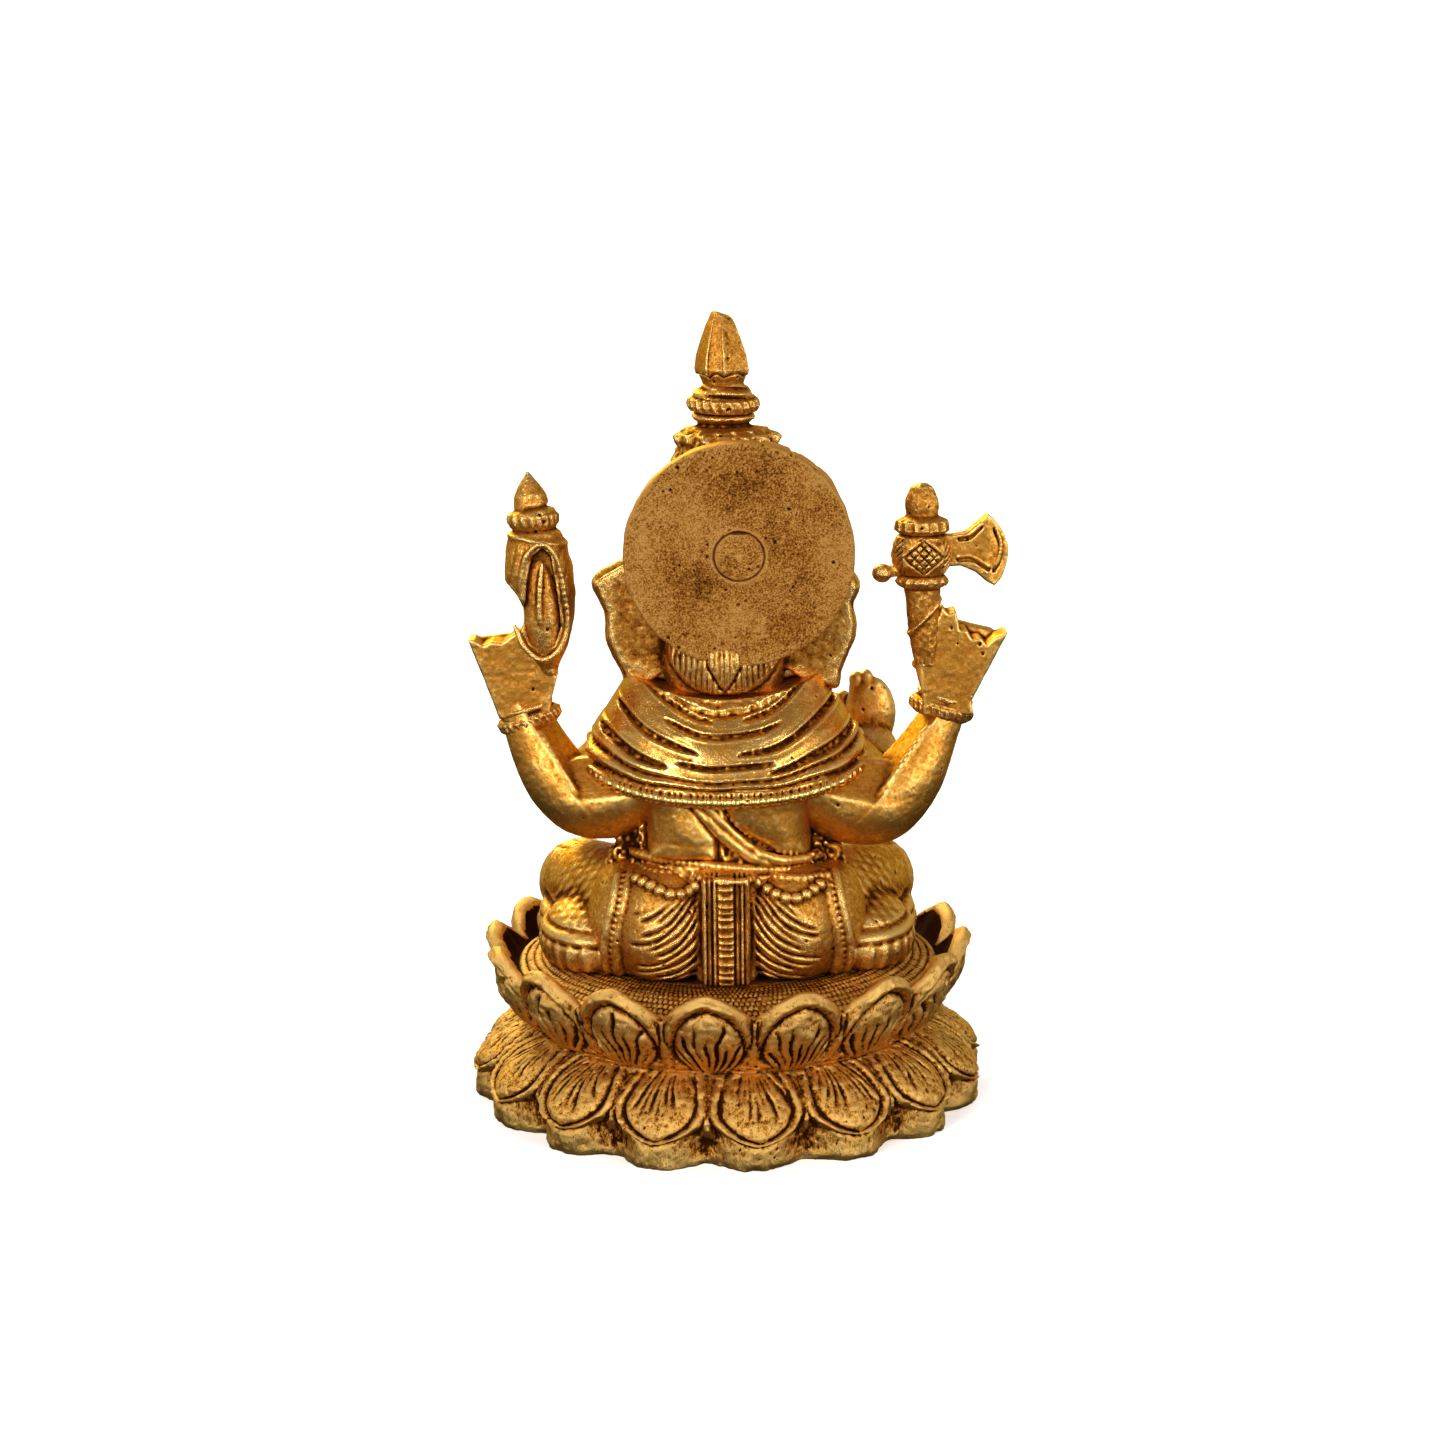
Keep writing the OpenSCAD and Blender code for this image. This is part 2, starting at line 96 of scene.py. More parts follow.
def noise(points, size, seed=0):
    """Smooth noise from -1 to 1 with blobs about size wide, the same on every run."""
    place = np.asarray(points, float) / size + 17.3 * (seed + 1)
    cell = np.floor(place).astype(np.int64)
    part = place - cell
    part = part * part * (3 - 2 * part)
    total = np.zeros(place.shape[:-1])
    for corner in range(8):
        step = np.array([corner & 1, corner >> 1 & 1, corner >> 2 & 1])
        c = cell + step
        code = (c[..., 0] * HASH_X + c[..., 1] * HASH_Y + c[..., 2] * HASH_Z) & POSITIVE
        code = ((code ^ (code >> 13)) * HASH_AGAIN) & POSITIVE
        code = code ^ (code >> 16)
        weight = np.prod(np.where(step == 1, part, 1 - part), axis=-1)
        total += weight * ((code & 0xFFFF) / 32767.5 - 1)
    return total


def noise_at(x, y, z, size, seed):
    """The same noise, at places given as separate coordinates."""
    return noise(np.stack(np.broadcast_arrays(x, y, z), axis=-1), size, seed)


# ---------------------------------------------------------------- meshes

def hollowness(points, normals, edges, rounds):
    """How far each point lies below the smoothed surface: positive in a crease, negative on an edge."""
    count = len(points)
    degree = np.maximum(np.bincount(edges.ravel(), minlength=count), 1)[:, None]
    a, b = edges[:, 0], edges[:, 1]
    soft = points.copy()
    for _ in range(rounds):
        soft = np.stack([np.bincount(a, soft[b, k], count) + np.bincount(b, soft[a, k], count)
                         for k in range(3)], axis=1) / degree
    return ((soft - points) * normals).sum(axis=1)


def read(collection, name, width, kind=np.float32):
    """One value of every item of a Blender collection, as an array."""
    out = np.empty(len(collection) * width, kind)
    collection.foreach_get(name, out)
    return out.reshape(-1, width) if width > 1 else out


def pitted(points, normals, count, seed, low=0.2, high=0.5):
    """Sinks small casting pits into a surface, at places that stay the same on every run."""
    rng = np.random.default_rng(seed)
    points = points.copy()
    for centre, radius in zip(rng.integers(0, len(points), count), rng.uniform(low, high, count)):
        near = np.linalg.norm(points - points[centre], axis=1)
        points -= normals * (0.8 * radius * np.clip(1 - (near / radius) ** 2, 0, 1))[:, None]
    return points


def outward(points, faces):
    """The faces of a closed mesh, all turned over if they look inwards."""
    corners = np.asarray(points)[np.array([face[:3] for face in faces])]
    volume = np.einsum("ij,ij->", corners[:, 0], np.cross(corners[:, 1], corners[:, 2]))
    return faces if volume > 0 else [face[::-1] for face in faces]


def piece(name, points, faces, nodes, material, slot="brass", pits=0, seed=1, rough=0.05, stain=None):
    """Makes one visible mesh of the given points, in millimetres, in place of some CAD nodes.

    pits is a number of casting pits, and rough the depth of the general unevenness. The last argument, a
    function of x, y and z, gives extra darkness, or lightness where it is negative: dirt and stains, and also
    painted shade and painted highlights.
    """
    mesh = bpy.data.meshes.new(name)
    mesh.from_pydata(np.asarray(points) * MM, [], outward(points, faces))
    mesh.shade_smooth()
    mesh.update()
    normals = read(mesh.vertex_normals, "vector", 3)
    spots = pitted(np.asarray(points, float), normals, pits, seed)
    unevenness = rough * noise(spots, 0.75, seed) + 1.2 * rough * noise(spots, 2.1, seed + 1)
    spots = spots + normals * unevenness[:, None]
    mesh.vertices.foreach_set("co", (spots * MM).ravel())
    mesh.update()
    edges = read(mesh.edges, "vertices", 2, np.int32)
    for label, rounds in (("fine_hollow", 3), ("wide_hollow_stain_and_painted_light", 30)):
        layer = mesh.attributes.new(label, "FLOAT", "POINT")
        depth = hollowness(spots, normals, edges, rounds)
        # the wide hollowness also takes that extra darkness: dirt and stains, and painted shade and painted
        # highlights
        if stain and label == "wide_hollow_stain_and_painted_light":
            depth = depth + stain(*spots.T)
        layer.data.foreach_set("value", depth.astype(np.float32))
    mesh.materials.append(material)
    thing = bpy.data.objects.new(name, mesh)
    bpy.context.scene.collection.objects.link(thing)
    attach(thing, "root")
    if nodes:
        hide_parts(*nodes)


def ring_faces(rows, columns, closed=True):
    """Quads between rings of points; closed joins the last ring to the first."""
    r = np.arange(rows if closed else rows - 1)[:, None] * columns
    c = np.arange(columns)[None, :]
    after, right = (r + columns) % (rows * columns), (c + 1) % columns
    quads = np.stack([r + c, r + right, after + right, after + c], axis=-1)
    return quads.reshape(-1, 4).tolist()


def capped_faces(rows, columns):
    """Quads between rings of points, and one face over each end."""
    last = (rows - 1) * columns
    caps = [list(range(columns))[::-1], list(range(last, last + columns))]
    return ring_faces(rows, columns, closed=False) + caps


def ring_piece(name, points, *look, **finish):
    """Makes a piece of rings of points, the last joined to the first; the rest is what piece() takes."""
    piece(name, points.reshape(-1, 3), ring_faces(*points.shape[:2]), *look, **finish)


def rings(radius, height, angle):
    """Points at the given radii, heights and angles round the upright axis, as (rings, columns)."""
    return np.stack(np.broadcast_arrays(radius * np.cos(angle), radius * np.sin(angle), height), axis=-1)


def turned_rings(marks, angle):
    """The rings of an outline given as (radius, height) marks."""
    radius, height = np.array(marks, float).T[:, :, None]
    return rings(radius, height, angle)


def outline_rings(marks, rows, angle):
    """The heights and the radii of rings set evenly along an outline of (height, radius) marks."""
    marks = np.array(marks)
    length = np.concatenate([[0], np.cumsum(np.hypot(*np.diff(marks, axis=0).T))])
    steps = np.linspace(0, length[-1], rows)
    return [np.interp(steps, length, marks[:, k])[:, None] + 0 * angle for k in (0, 1)]


def round_angles(columns):
    """The angle of each column of points."""
    return np.arange(columns) * 2 * math.pi / columns


# ---------------------------------------------------------------- clay

def union(a, b, blend):
    """Two signed distances joined, with a soft seam."""
    h = np.clip(0.5 + 0.5 * (b - a) / blend, 0, 1)
    return b + (a - b) * h - blend * h * (1 - h)


FAR = 6.0  # the distance held by places that no shape reaches
MARGIN = 2.5  # how far outside its own box a shape is still worked out


class Clay:
    """A lump of clay: signed distances on a grid, negative inside."""

    def __init__(self, low, high, step):
        self.low, self.step = np.array(low, float), step
        self.count = np.ceil((np.array(high) - self.low) / step).astype(int) + 1
        self.field = np.full(self.count, FAR, np.float32)

    def part(self, low, high):
        """The slice of the grid between two corners, with its X, Y and Z coordinates."""
        first = np.clip(np.floor((np.array(low) - self.low) / self.step).astype(int), 0, self.count - 1)
        last = np.clip(np.ceil((np.array(high) - self.low) / self.step).astype(int) + 1, 1, self.count)
        where = tuple(slice(f, l) for f, l in zip(first, last))
        axes = [(self.low[i] + self.step * np.arange(first[i], last[i])).astype(np.float32) for i in range(3)]
        return where, np.ix_(*axes)

    def change(self, shape, rule, blend):
        """Works a shape, which is a low corner, a high corner and a distance function, into the clay."""
        low, high, distance = shape
        reach = MARGIN + blend
        where, (x, y, z) = self.part(np.array(low) - reach, np.array(high) + reach)
        if all(s.stop > s.start for s in where):
            self.field[where] = rule(self.field[where], distance(x, y, z))

    def add(self, shape, blend=0.6):
        """Adds a shape, with a seam about blend wide."""
        self.change(shape, lambda old, new: union(old, new, blend), blend)

    def cut(self, shape, blend=0.3):
        """Takes a shape away, with an edge about blend wide."""
        self.change(shape, lambda old, new: -union(-old, new, blend), blend)

    def keep(self, distance, blend=0.3):
        """Keeps only what is inside the given distance function."""
        where, (x, y, z) = self.part(self.low, self.low + self.step * self.count)
        self.field[where] = -union(-self.field[where], -distance(x, y, z), blend)

    def relief(self, low, high, height):
        """Raises the surface by height(x, y, z), or sinks it where that is negative."""
        where, (x, y, z) = self.part(low, high)
        self.field[where] -= height(x, y, z)

    def mesh(self):
        """The surface as points and faces."""
        grid = openvdb.FloatGrid(FAR)
        grid.copyFromArray(np.ascontiguousarray(self.field), tolerance=0)
        points, triangles, quads = grid.convertToPolygons(isovalue=0.0, adaptivity=0.0)
        return points * self.step + self.low, quads.tolist() + triangles.tolist()

    def make(self, name, *look, drop=0.0, **finish):
        """Makes a piece of the surface, lowered by drop; the rest is what piece() takes."""
        points, faces = self.mesh()
        piece(name, points - (0, 0, drop), faces, *look, **finish)


def ball(at, r):
    """A ball of radius r."""
    at = np.array(at, float)

    def distance(x, y, z):
        return np.sqrt((x - at[0]) ** 2 + (y - at[1]) ** 2 + (z - at[2]) ** 2) - r

    return at - r, at + r, distance


def turned(rotate):
    """A 3 by 3 turn about X, then Y, then Z, from degrees."""
    a, b, c = np.radians(rotate)
    rx = np.array([[1, 0, 0], [0, math.cos(a), -math.sin(a)], [0, math.sin(a), math.cos(a)]])
    ry = np.array([[math.cos(b), 0, math.sin(b)], [0, 1, 0], [-math.sin(b), 0, math.cos(b)]])
    rz = np.array([[math.cos(c), -math.sin(c), 0], [math.sin(c), math.cos(c), 0], [0, 0, 1]])
    return rz @ ry @ rx


def local(at, rotate, x, y, z):
    """Coordinates in a frame that stands at a point and is turned."""
    m = turned(rotate).T
    dx, dy, dz = x - at[0], y - at[1], z - at[2]
    return [m[i, 0] * dx + m[i, 1] * dy + m[i, 2] * dz for i in range(3)]


def egg(at, radii, rotate=(0, 0, 0)):
    """An ellipsoid, turned about its centre."""
    at, radii = np.array(at, float), np.array(radii, float)
    reach = np.abs(turned(rotate)) @ radii

    def distance(x, y, z):
        u, v, w = local(at, rotate, x, y, z)
        k0 = np.sqrt((u / radii[0]) ** 2 + (v / radii[1]) ** 2 + (w / radii[2]) ** 2)
        k1 = np.sqrt((u / radii[0] ** 2) ** 2 + (v / radii[1] ** 2) ** 2 + (w / radii[2] ** 2) ** 2) + 1e-6
        return k0 * (k0 - 1) / k1

    return at - reach, at + reach, distance


def block(at, half, rotate=(0, 0, 0), edge=0.4):
    """A box with rounded edges."""
    at, half = np.array(at, float), np.array(half, float)
    reach = np.abs(turned(rotate)) @ half

    def distance(x, y, z):
        q = [np.abs(p) - h + edge for p, h in zip(local(at, rotate, x, y, z), half)]
        outside = np.sqrt(sum(np.maximum(p, 0) ** 2 for p in q))
        return outside + np.minimum(np.maximum(np.maximum(q[0], q[1]), q[2]), 0) - edge

    return at - reach, at + reach, distance


def segment(a, b, x, y, z):
    """What share of the way from a to b each place is level with, and its squared distance from there."""
    way = b - a
    dx, dy, dz = x - a[0], y - a[1], z - a[2]
    t = np.clip((dx * way[0] + dy * way[1] + dz * way[2]) / float(way @ way), 0, 1)
    return t, (dx - t * way[0]) ** 2 + (dy - t * way[1]) ** 2 + (dz - t * way[2]) ** 2


def limb(a, ra, b, rb):
    """A round rod between two points, with a radius at each end."""
    a, b = np.array(a, float), np.array(b, float)
    top = max(ra, rb)

    def distance(x, y, z):
        t, gap = segment(a, b, x, y, z)
        return np.sqrt(gap) - ra - (rb - ra) * t

    return np.minimum(a, b) - top, np.maximum(a, b) + top, distance


def outline_distance(outline, x, z):
    """The signed distance to a closed outline of (x, z) points, negative inside."""
    nearest, odd = 1e9, np.zeros(np.broadcast(x, z).shape, bool)
    for (ax, az), (bx, bz) in zip(outline, np.roll(outline, -1, axis=0)):
        wx, wz = bx - ax, bz - az
        t = np.clip(((x - ax) * wx + (z - az) * wz) / (wx * wx + wz * wz), 0, 1)
        nearest = np.minimum(nearest, (x - ax - t * wx) ** 2 + (z - az - t * wz) ** 2)
        if wz:
            odd ^= ((az > z) != (bz > z)) & (x < ax + (z - az) * wx / wz)
    return np.sqrt(nearest) * np.where(odd, -1, 1)


def slab(outline, front, back, edge=0.5):
    """A plate with an outline of (x, z) points, between two values of Y, with rounded edges."""
    outline = np.array(outline, float)
    low, high = outline.min(axis=0), outline.max(axis=0)

    def distance(x, y, z):
        across = outline_distance(outline, x, z) + edge
        deep = np.abs(y - (front + back) / 2) - (back - front) / 2 + edge
        outside = np.sqrt(np.maximum(across, 0) ** 2 + np.maximum(deep, 0) ** 2)
        return outside + np.minimum(np.maximum(across, deep), 0) - edge

    return np.array([low[0], front, low[1]]), np.array([high[0], back, high[1]]), distance


def spindle(a, b, marks, radii):
    """A body of revolution from a to b, with its radius given at marks from 0 to 1 along it."""
    a, b = np.array(a, float), np.array(b, float)
    top = max(radii)

    def distance(x, y, z):
        t, gap = segment(a, b, x, y, z)
        return np.sqrt(gap) - np.interp(t, marks, radii)

    return np.minimum(a, b) - top, np.maximum(a, b) + top, distance


def plane(at, normal):
    """How far each place lies in front of a plane."""
    return lambda x, y, z: (x - at[0]) * normal[0] + (y - at[1]) * normal[1] + (z - at[2]) * normal[2]


def flat(at, normal, reach):
    """Everything in front of a plane, within reach of a point on it; cutting it planes a flat."""
    at, normal = np.array(at, float), np.array(normal, float) / np.linalg.norm(normal)
    in_front = plane(at, normal)
    return at - reach, at + reach, lambda x, y, z: -in_front(x, y, z)


def curve(points, count):
    """A smooth line of count points through the given ones."""
    points = np.array(points, float)
    t = np.linspace(0, len(points) - 1, count)
    i = np.clip(t.astype(int), 0, len(points) - 2)
    f = (t - i)[:, None]
    padded = np.vstack([2 * points[0] - points[1], points, 2 * points[-1] - points[-2]])
    p0, p1, p2, p3 = padded[i], padded[i + 1], padded[i + 2], padded[i + 3]
    return 0.5 * (2 * p1 + (p2 - p0) * f + (2 * p0 - 5 * p1 + 4 * p2 - p3) * f ** 2
                  + (3 * p1 - p0 - 3 * p2 + p3) * f ** 3)


def worm(clay, line, radii, blend=0.3, act=Clay.add):
    """Adds or cuts a rod that follows a line."""
    radii = np.broadcast_to(radii, len(line))
    for i in range(len(line) - 1):
        act(clay, limb(line[i], radii[i], line[i + 1], radii[i + 1]), blend)


def tapered(clay, points, count, marks, radii, blend):
    """Adds a rod along a smooth line, with its radius given at marks from 0 to 1, and gives the line."""
    line = curve(points, count)
    worm(clay, line, np.interp(np.linspace(0, 1, count), marks, radii), blend)
    return line


def along_line(line, x, y, z):
    """How far along a line of points the nearest spot to each place lies."""
    nearest, mark, run = 1e9, 0.0, 0.0
    for a, b in zip(line, line[1:]):
        size = np.linalg.norm(b - a)
        t, gap = segment(a, b, x, y, z)
        mark = np.where(gap < nearest, run + t * size, mark)
        nearest = np.minimum(nearest, gap)
        run += size
    return mark


def circled(middle, along_cos, along_sin, angles):
    """Points round a middle, which lean the two given ways."""
    cos, sin = np.cos(angles)[:, None], np.sin(angles)[:, None]
    return np.array(middle) + cos * np.array(along_cos) + sin * np.array(along_sin)


# ---------------------------------------------------------------- materials

def shade(name, metallic=1.0):
    """A new material, its node tree and its surface shader."""
    material = bpy.data.materials.new(name)
    material.use_nodes = True
    shader = material.node_tree.nodes["Principled BSDF"]
    shader.inputs["Metallic"].default_value = metallic
    return material, material.node_tree, shader


def add(tree, kind, **values):
    """A node with its properties and input values set; a tuple value becomes a colour or vector."""
    made = tree.nodes.new(kind)
    for key, value in values.items():
        if hasattr(made, key):
            setattr(made, key, value)
        else:
            made.inputs[key.replace("_", " ")].default_value = value
    return made


def feed(tree, socket, value):
    """Sets a socket to a number or a colour, or links another socket to it."""
    if isinstance(value, tuple):
        socket.default_value = (*value, 1)
    elif isinstance(value, (int, float)):
        socket.default_value = value
    else:
        tree.links.new(value, socket)


def math_node(tree, operation, a, b):
    """The result of an operation on two numbers, each a socket or a plain value."""
    made = tree.nodes.new("ShaderNodeMath")
    made.operation = operation
    feed(tree, made.inputs[0], a)
    feed(tree, made.inputs[1], b)
    return made.outputs[0]


def ramp(tree, value, stops, interpolation="EASE"):
    """What value turns into, given as stops of a place and a height or a colour there."""
    made = tree.nodes.new("ShaderNodeValToRGB")
    made.color_ramp.interpolation = interpolation
    marks = made.color_ramp.elements
    while len(marks) < len(stops):
        marks.new(0.5)
    for mark, (place, tone) in zip(marks, stops):
        mark.position = place
        mark.color = (*tone, 1) if isinstance(tone, tuple) else (tone, tone, tone, 1)
    tree.links.new(value, made.inputs[0])
    return made.outputs[0]


def mixed(tree, share, a, b):
    """A mix of two colours, each a socket or a tuple."""
    made = tree.nodes.new("ShaderNodeMix")
    made.data_type = "RGBA"
    for index, value in ((0, share), (6, a), (7, b)):
        feed(tree, made.inputs[index], value)
    return made.outputs[2]


def speckle(tree, coordinates, size, detail=3.0, stretch=(1, 1, 1), rough=0.6):
    """Noise from 0 to 1 with blobs about size millimetres wide, stretched along the axes."""
    mapping = add(tree, "ShaderNodeMapping")
    mapping.inputs["Scale"].default_value = [1 / (size * MM * s) for s in stretch]
    tree.links.new(coordinates, mapping.inputs["Vector"])
    made = add(tree, "ShaderNodeTexNoise", Scale=1.0, Detail=detail, Roughness=rough)
    tree.links.new(mapping.outputs[0], made.inputs["Vector"])
    return made.outputs["Fac"]


TONE_STOPS = (0.0, 0.22, 0.48, 0.72, 0.98)  # where each tone lies between worn edge and hollow


def brass(name, tones, polish=0.27, grain=1.0, grit=1.0, grit_size=0.45, file_marks=(1, 1, 1),
          blotches=0.5, blotch_size=6.0, age=0.30):
    """Cast brass: pale and shiny on worn edges, ochre where it is rough, brown to black in hollows and pits.

    The tones go from the worn edges to the hollows.
    """
    material, tree, shader = shade(name)
    place = add(tree, "ShaderNodeTexCoord").outputs["Object"]
    fine = add(tree, "ShaderNodeAttribute", attribute_name="fine_hollow").outputs["Fac"]
    wide = add(tree, "ShaderNodeAttribute", attribute_name="wide_hollow_stain_and_painted_light").outputs["Fac"]
    blotch = speckle(tree, place, blotch_size, 4.0)
    mottle = speckle(tree, place, 1.5, 5.0, rough=0.7)
    sand = speckle(tree, place, grit_size, 4.0, stretch=file_marks, rough=0.75)
    dust = speckle(tree, place, 0.30, 2.0)

    def plus(a, b):  # these three make the sums below readable
        return math_node(tree, "ADD", a, b)

    def minus(a, b):
        return math_node(tree, "SUBTRACT", a, b)

    def times(a, b):
        return math_node(tree, "MULTIPLY", a, b)

    # how far each spot goes from worn edge to hollow: real patina, mottling and pits, plus the painted shade
    # and painted highlights that some pieces carry in their wide hollowness
    tarnish_and_painted_light = plus(times(fine, 4.2), times(wide, 1.35))
    for pattern, weight in ((mottle, -0.9 * grain), (sand, -1.5 * grain * grit), (blotch, blotches)):
        tarnish_and_painted_light = plus(tarnish_and_painted_light, times(minus(pattern, 0.5), weight))
    tarnish_and_painted_light = plus(tarnish_and_painted_light, age)
    pits = ramp(tree, times(dust, plus(mottle, 0.45)), [(0.61, 0.0), (0.70, 1.0)])
    tarnish_and_painted_light = math_node(tree, "MAXIMUM", tarnish_and_painted_light, times(pits, 0.62 * grain))
    feed(tree, shader.inputs["Base Color"], ramp(tree, tarnish_and_painted_light, list(zip(TONE_STOPS, tones)), "LINEAR"))

    dull = ramp(tree, tarnish_and_painted_light, [(0.05, 0.0), (0.95, 1.0)])
    feed(tree, shader.inputs["Roughness"], plus(polish, times(dull, 0.45)))
    feed(tree, shader.inputs["Metallic"], minus(1.0, times(dull, 0.20)))
    shader.inputs["Specular IOR Level"].default_value = 0.2
    shader.inputs["Specular Tint"].default_value = (0.90, 0.62, 0.28, 1)

    height = minus(plus(times(sand, 0.15 * grit), times(mottle, 0.22)), times(pits, 0.10))
    relief = add(tree, "ShaderNodeBump", Strength=min(1.0, 0.8 * grain), Distance=MM)
    feed(tree, relief.inputs["Height"], height)
    feed(tree, shader.inputs["Normal"], relief.outputs[0])
    return material


WORN, GOLD, OCHRE = (0.84, 0.52, 0.155), (0.64, 0.290, 0.044), (0.43, 0.158, 0.018)
BROWN, PATINA = (0.20, 0.055, 0.003), (0.036, 0.009, 0.001)
TONES = (WORN, GOLD, OCHRE, BROWN, PATINA)
WARM = ((0.88, 0.515, 0.135), (0.70, 0.305, 0.040), OCHRE, BROWN, PATINA)
SANDED = ((0.72, 0.37, 0.095), (0.55, 0.240, 0.042), (0.39, 0.148, 0.020), (0.19, 0.058, 0.006), PATINA)
cast = brass("cast_brass", TONES, age=0.38)
cast_smooth = brass("smooth_cast_brass", WARM, grain=0.6, polish=0.34, age=0.29)
polished = brass("polished_brass", TONES, grain=0.45, polish=0.22, age=0.27)
lotus_brass = brass("lotus_brass", WARM, grain=1.6, grit=1.5, grit_size=0.36, polish=0.28,
                    file_marks=(1, 1, 2), age=0.30)
disc_brass = brass("disc_brass", SANDED, grain=0.9, grit=2.7, grit_size=0.34, polish=0.38,
                   blotches=1.5, blotch_size=11.0, age=0.32)


def steel_material():
    """Bright turned steel with fine marks round it."""
    material, tree, shader = shade("turned_steel")
    place = add(tree, "ShaderNodeTexCoord").outputs["Object"]
    marks = speckle(tree, place, 0.3, 3.0, stretch=(12, 12, 1))
    feed(tree, shader.inputs["Base Color"], mixed(tree, marks, (0.48, 0.47, 0.45), (0.66, 0.65, 0.63)))
    uneven = math_node(tree, "MULTIPLY", marks, 0.2)
    feed(tree, shader.inputs["Roughness"], math_node(tree, "ADD", 0.22, uneven))
    return material


HIDDEN = ("base_screw", "base_washer", "body_dowels", "crown_dowel", "rear_arm_dowels", "front_arm_dowels")
steel = steel_material()
for hidden in HIDDEN:
    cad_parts[hidden].data.materials.clear()
    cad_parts[hidden].data.materials.append(steel)


# ---------------------------------------------------------------- lotus pedestal

PETALS = 16
PETAL_STEP = 2 * math.pi / PETALS
LOWER_ARC_R, UPPER_ARC_R = 47, 46  # the radii at which widths across the petals are measured
lower_low, lower_high = node_mm("lotus_lower_tier")
upper_low, upper_high = node_mm("lotus_upper_tier")
FOOT_R = (lower_high[0] - lower_low[0]) / 2
WAIST_Z = lower_high[2]
TIP_Z = upper_high[2]
BODY_Z = node_mm("seated_body")[0][2]
SEAT_DROP = 1.3  # the seat and the lower body lie this much deeper than in the CAD
SEAT_Z = BODY_Z - SEAT_DROP
SPIGOT_Z = upper_low[2]


def petal_place(angle, first):
    """How far along its petal each angle is, from -0.5 to 0.5, and that petal's number."""
    turn = angle / PETAL_STEP - first
    number = np.round(turn)
    return turn - number, number.astype(int) % PETALS


def veins(x, z, root_z, number, reach, seed):
    """Cut lines that fan out from a petal's root, of uneven length and depth, from 0 to 1."""
    spread = 10.5  # degrees from one line to the next
    fan = np.degrees(np.arctan2(x, np.abs(z - root_z)))
    span = np.hypot(x, z - root_z)
    fan = fan + 1.6 * np.sin(0.9 * span + number)
    line = np.round(fan / spread)
    rng = np.random.default_rng(seed)
    length = rng.uniform(0.62, 1.0, (PETALS, 16))[number, line.astype(int) % 16]
    depth = rng.uniform(0.35, 1.0, (PETALS, 16))[number, line.astype(int) % 16]
    across = (fan - line * spread) / spread * span * 0.18
    return depth * bump_at(across, 0, 0.44) * smooth(0.0, 3.0, reach * length - span)


LOTUS_ANGLE = round_angles(PETALS * 52)


def foot_dirt(x, y, z):
    """Patches of dirt round the lowest edge."""
    return 0.6 * smooth(2.6, 0.4, z) * smooth(0.0, 0.4, noise_at(x, y, z, 4.0, 31))


def lotus_lower():
    """The scalloped foot and the down-turned petals, hollow underneath."""
    angle = LOTUS_ANGLE
    x, number = petal_place(angle, 0.28)
    arc = x * PETAL_STEP * LOWER_ARC_R
    across = np.abs(arc)
    tip_z = 5.0
    foot = FOOT_R - 2.2 * (1 - np.cos(math.pi * np.abs(2 * x) ** 1.3))
    z = np.concatenate([np.linspace(0, tip_z, 12, endpoint=False), np.linspace(tip_z, WAIST_Z, 62)])[:, None]
    up = np.clip((z - tip_z) / (WAIST_Z - tip_z), 0, 1)
    widest, half = 0.55, 8.9
    to_widest = np.minimum(up / widest, 1)
    width = np.where(up < widest, half * (1 - (1 - to_widest) ** 1.8) ** 0.72,
                     half - 1.5 * ((up - widest) / 0.45) ** 2)
    inside = (width - across) * 0.85
    swell = 40.2 + (FOOT_R - 40.4) * (1 - up ** 1.75) - 0.012 * across ** 2
    rim = 0.70 * bump_at(inside, 0.7, 0.5) - 0.7 * bump_at(inside, 1.65, 0.45)
    dome = 1.15 * (1 - np.exp(-np.maximum(inside - 2.1, 0) / 1.9))
    cuts = veins(arc, z, WAIST_Z + 3.5, number[None, :], 11.5, 3) * smooth(1.6, 2.6, inside)
    petal = swell + rim + dome - 1.5 * cuts + 1.6 * np.minimum(inside, 0)
    between = PETAL_STEP * LOWER_ARC_R / 2 - across
    leaf = 1.3 * bump_at(between, 0, 1.6) + 0.5 * bump_at(between, 0, 0.4)
    leaf = leaf * smooth(4.5, 8, z) * smooth(15, 11, z)
    wall = np.minimum(foot, 39.4 + (WAIST_Z - z) * 1.02) + leaf
    radius = np.maximum(petal, wall)
    radius -= 1.1 * smooth(WAIST_Z - 2.2, WAIST_Z, z)
    points = rings(radius, z, angle)
    files = noise(points * (1, 1, 0.08), 0.55, 2) * smooth(7.5, tip_z, z) * 0.15
    ragged = bump_at(inside, 0.7, 0.7) + smooth(WAIST_Z - 3.5, WAIST_Z, z)
    rough = noise(points, 0.8, 5) * (0.16 + 0.24 * ragged) + 0.32 * noise(points, 3.0, 8)
    worn = 0.6 * smooth(1.2, 0.0, z) * (1 + 0.8 * noise(points, 2.2, 9))
    radius = radius + files + rough - worn
    # from the waist down the inside, and out again under the foot
    inner = [(39.0, WAIST_Z), (37.2, WAIST_Z), (36.9, WAIST_Z - 0.3), (36.9, SPIGOT_Z + 0.2),
             (36.7, SPIGOT_Z), (34.4, SPIGOT_Z), (34, SPIGOT_Z - 0.4), (34, 8), (34, 4), (34, 0.5),
             (34.4, 0.05), (37, 0), (41, 0), (44, 0)]
    under = rings(0.9 * radius[:1] + 4.2, 0.0, angle)
    points = np.concatenate([rings(radius, z, angle), turned_rings(inner, angle), under])
    ring_piece("lotus_lower_tier_cast", points, ["lotus_lower_tier"], lotus_brass, pits=260, seed=11,
               rough=0.09, stain=foot_dirt)


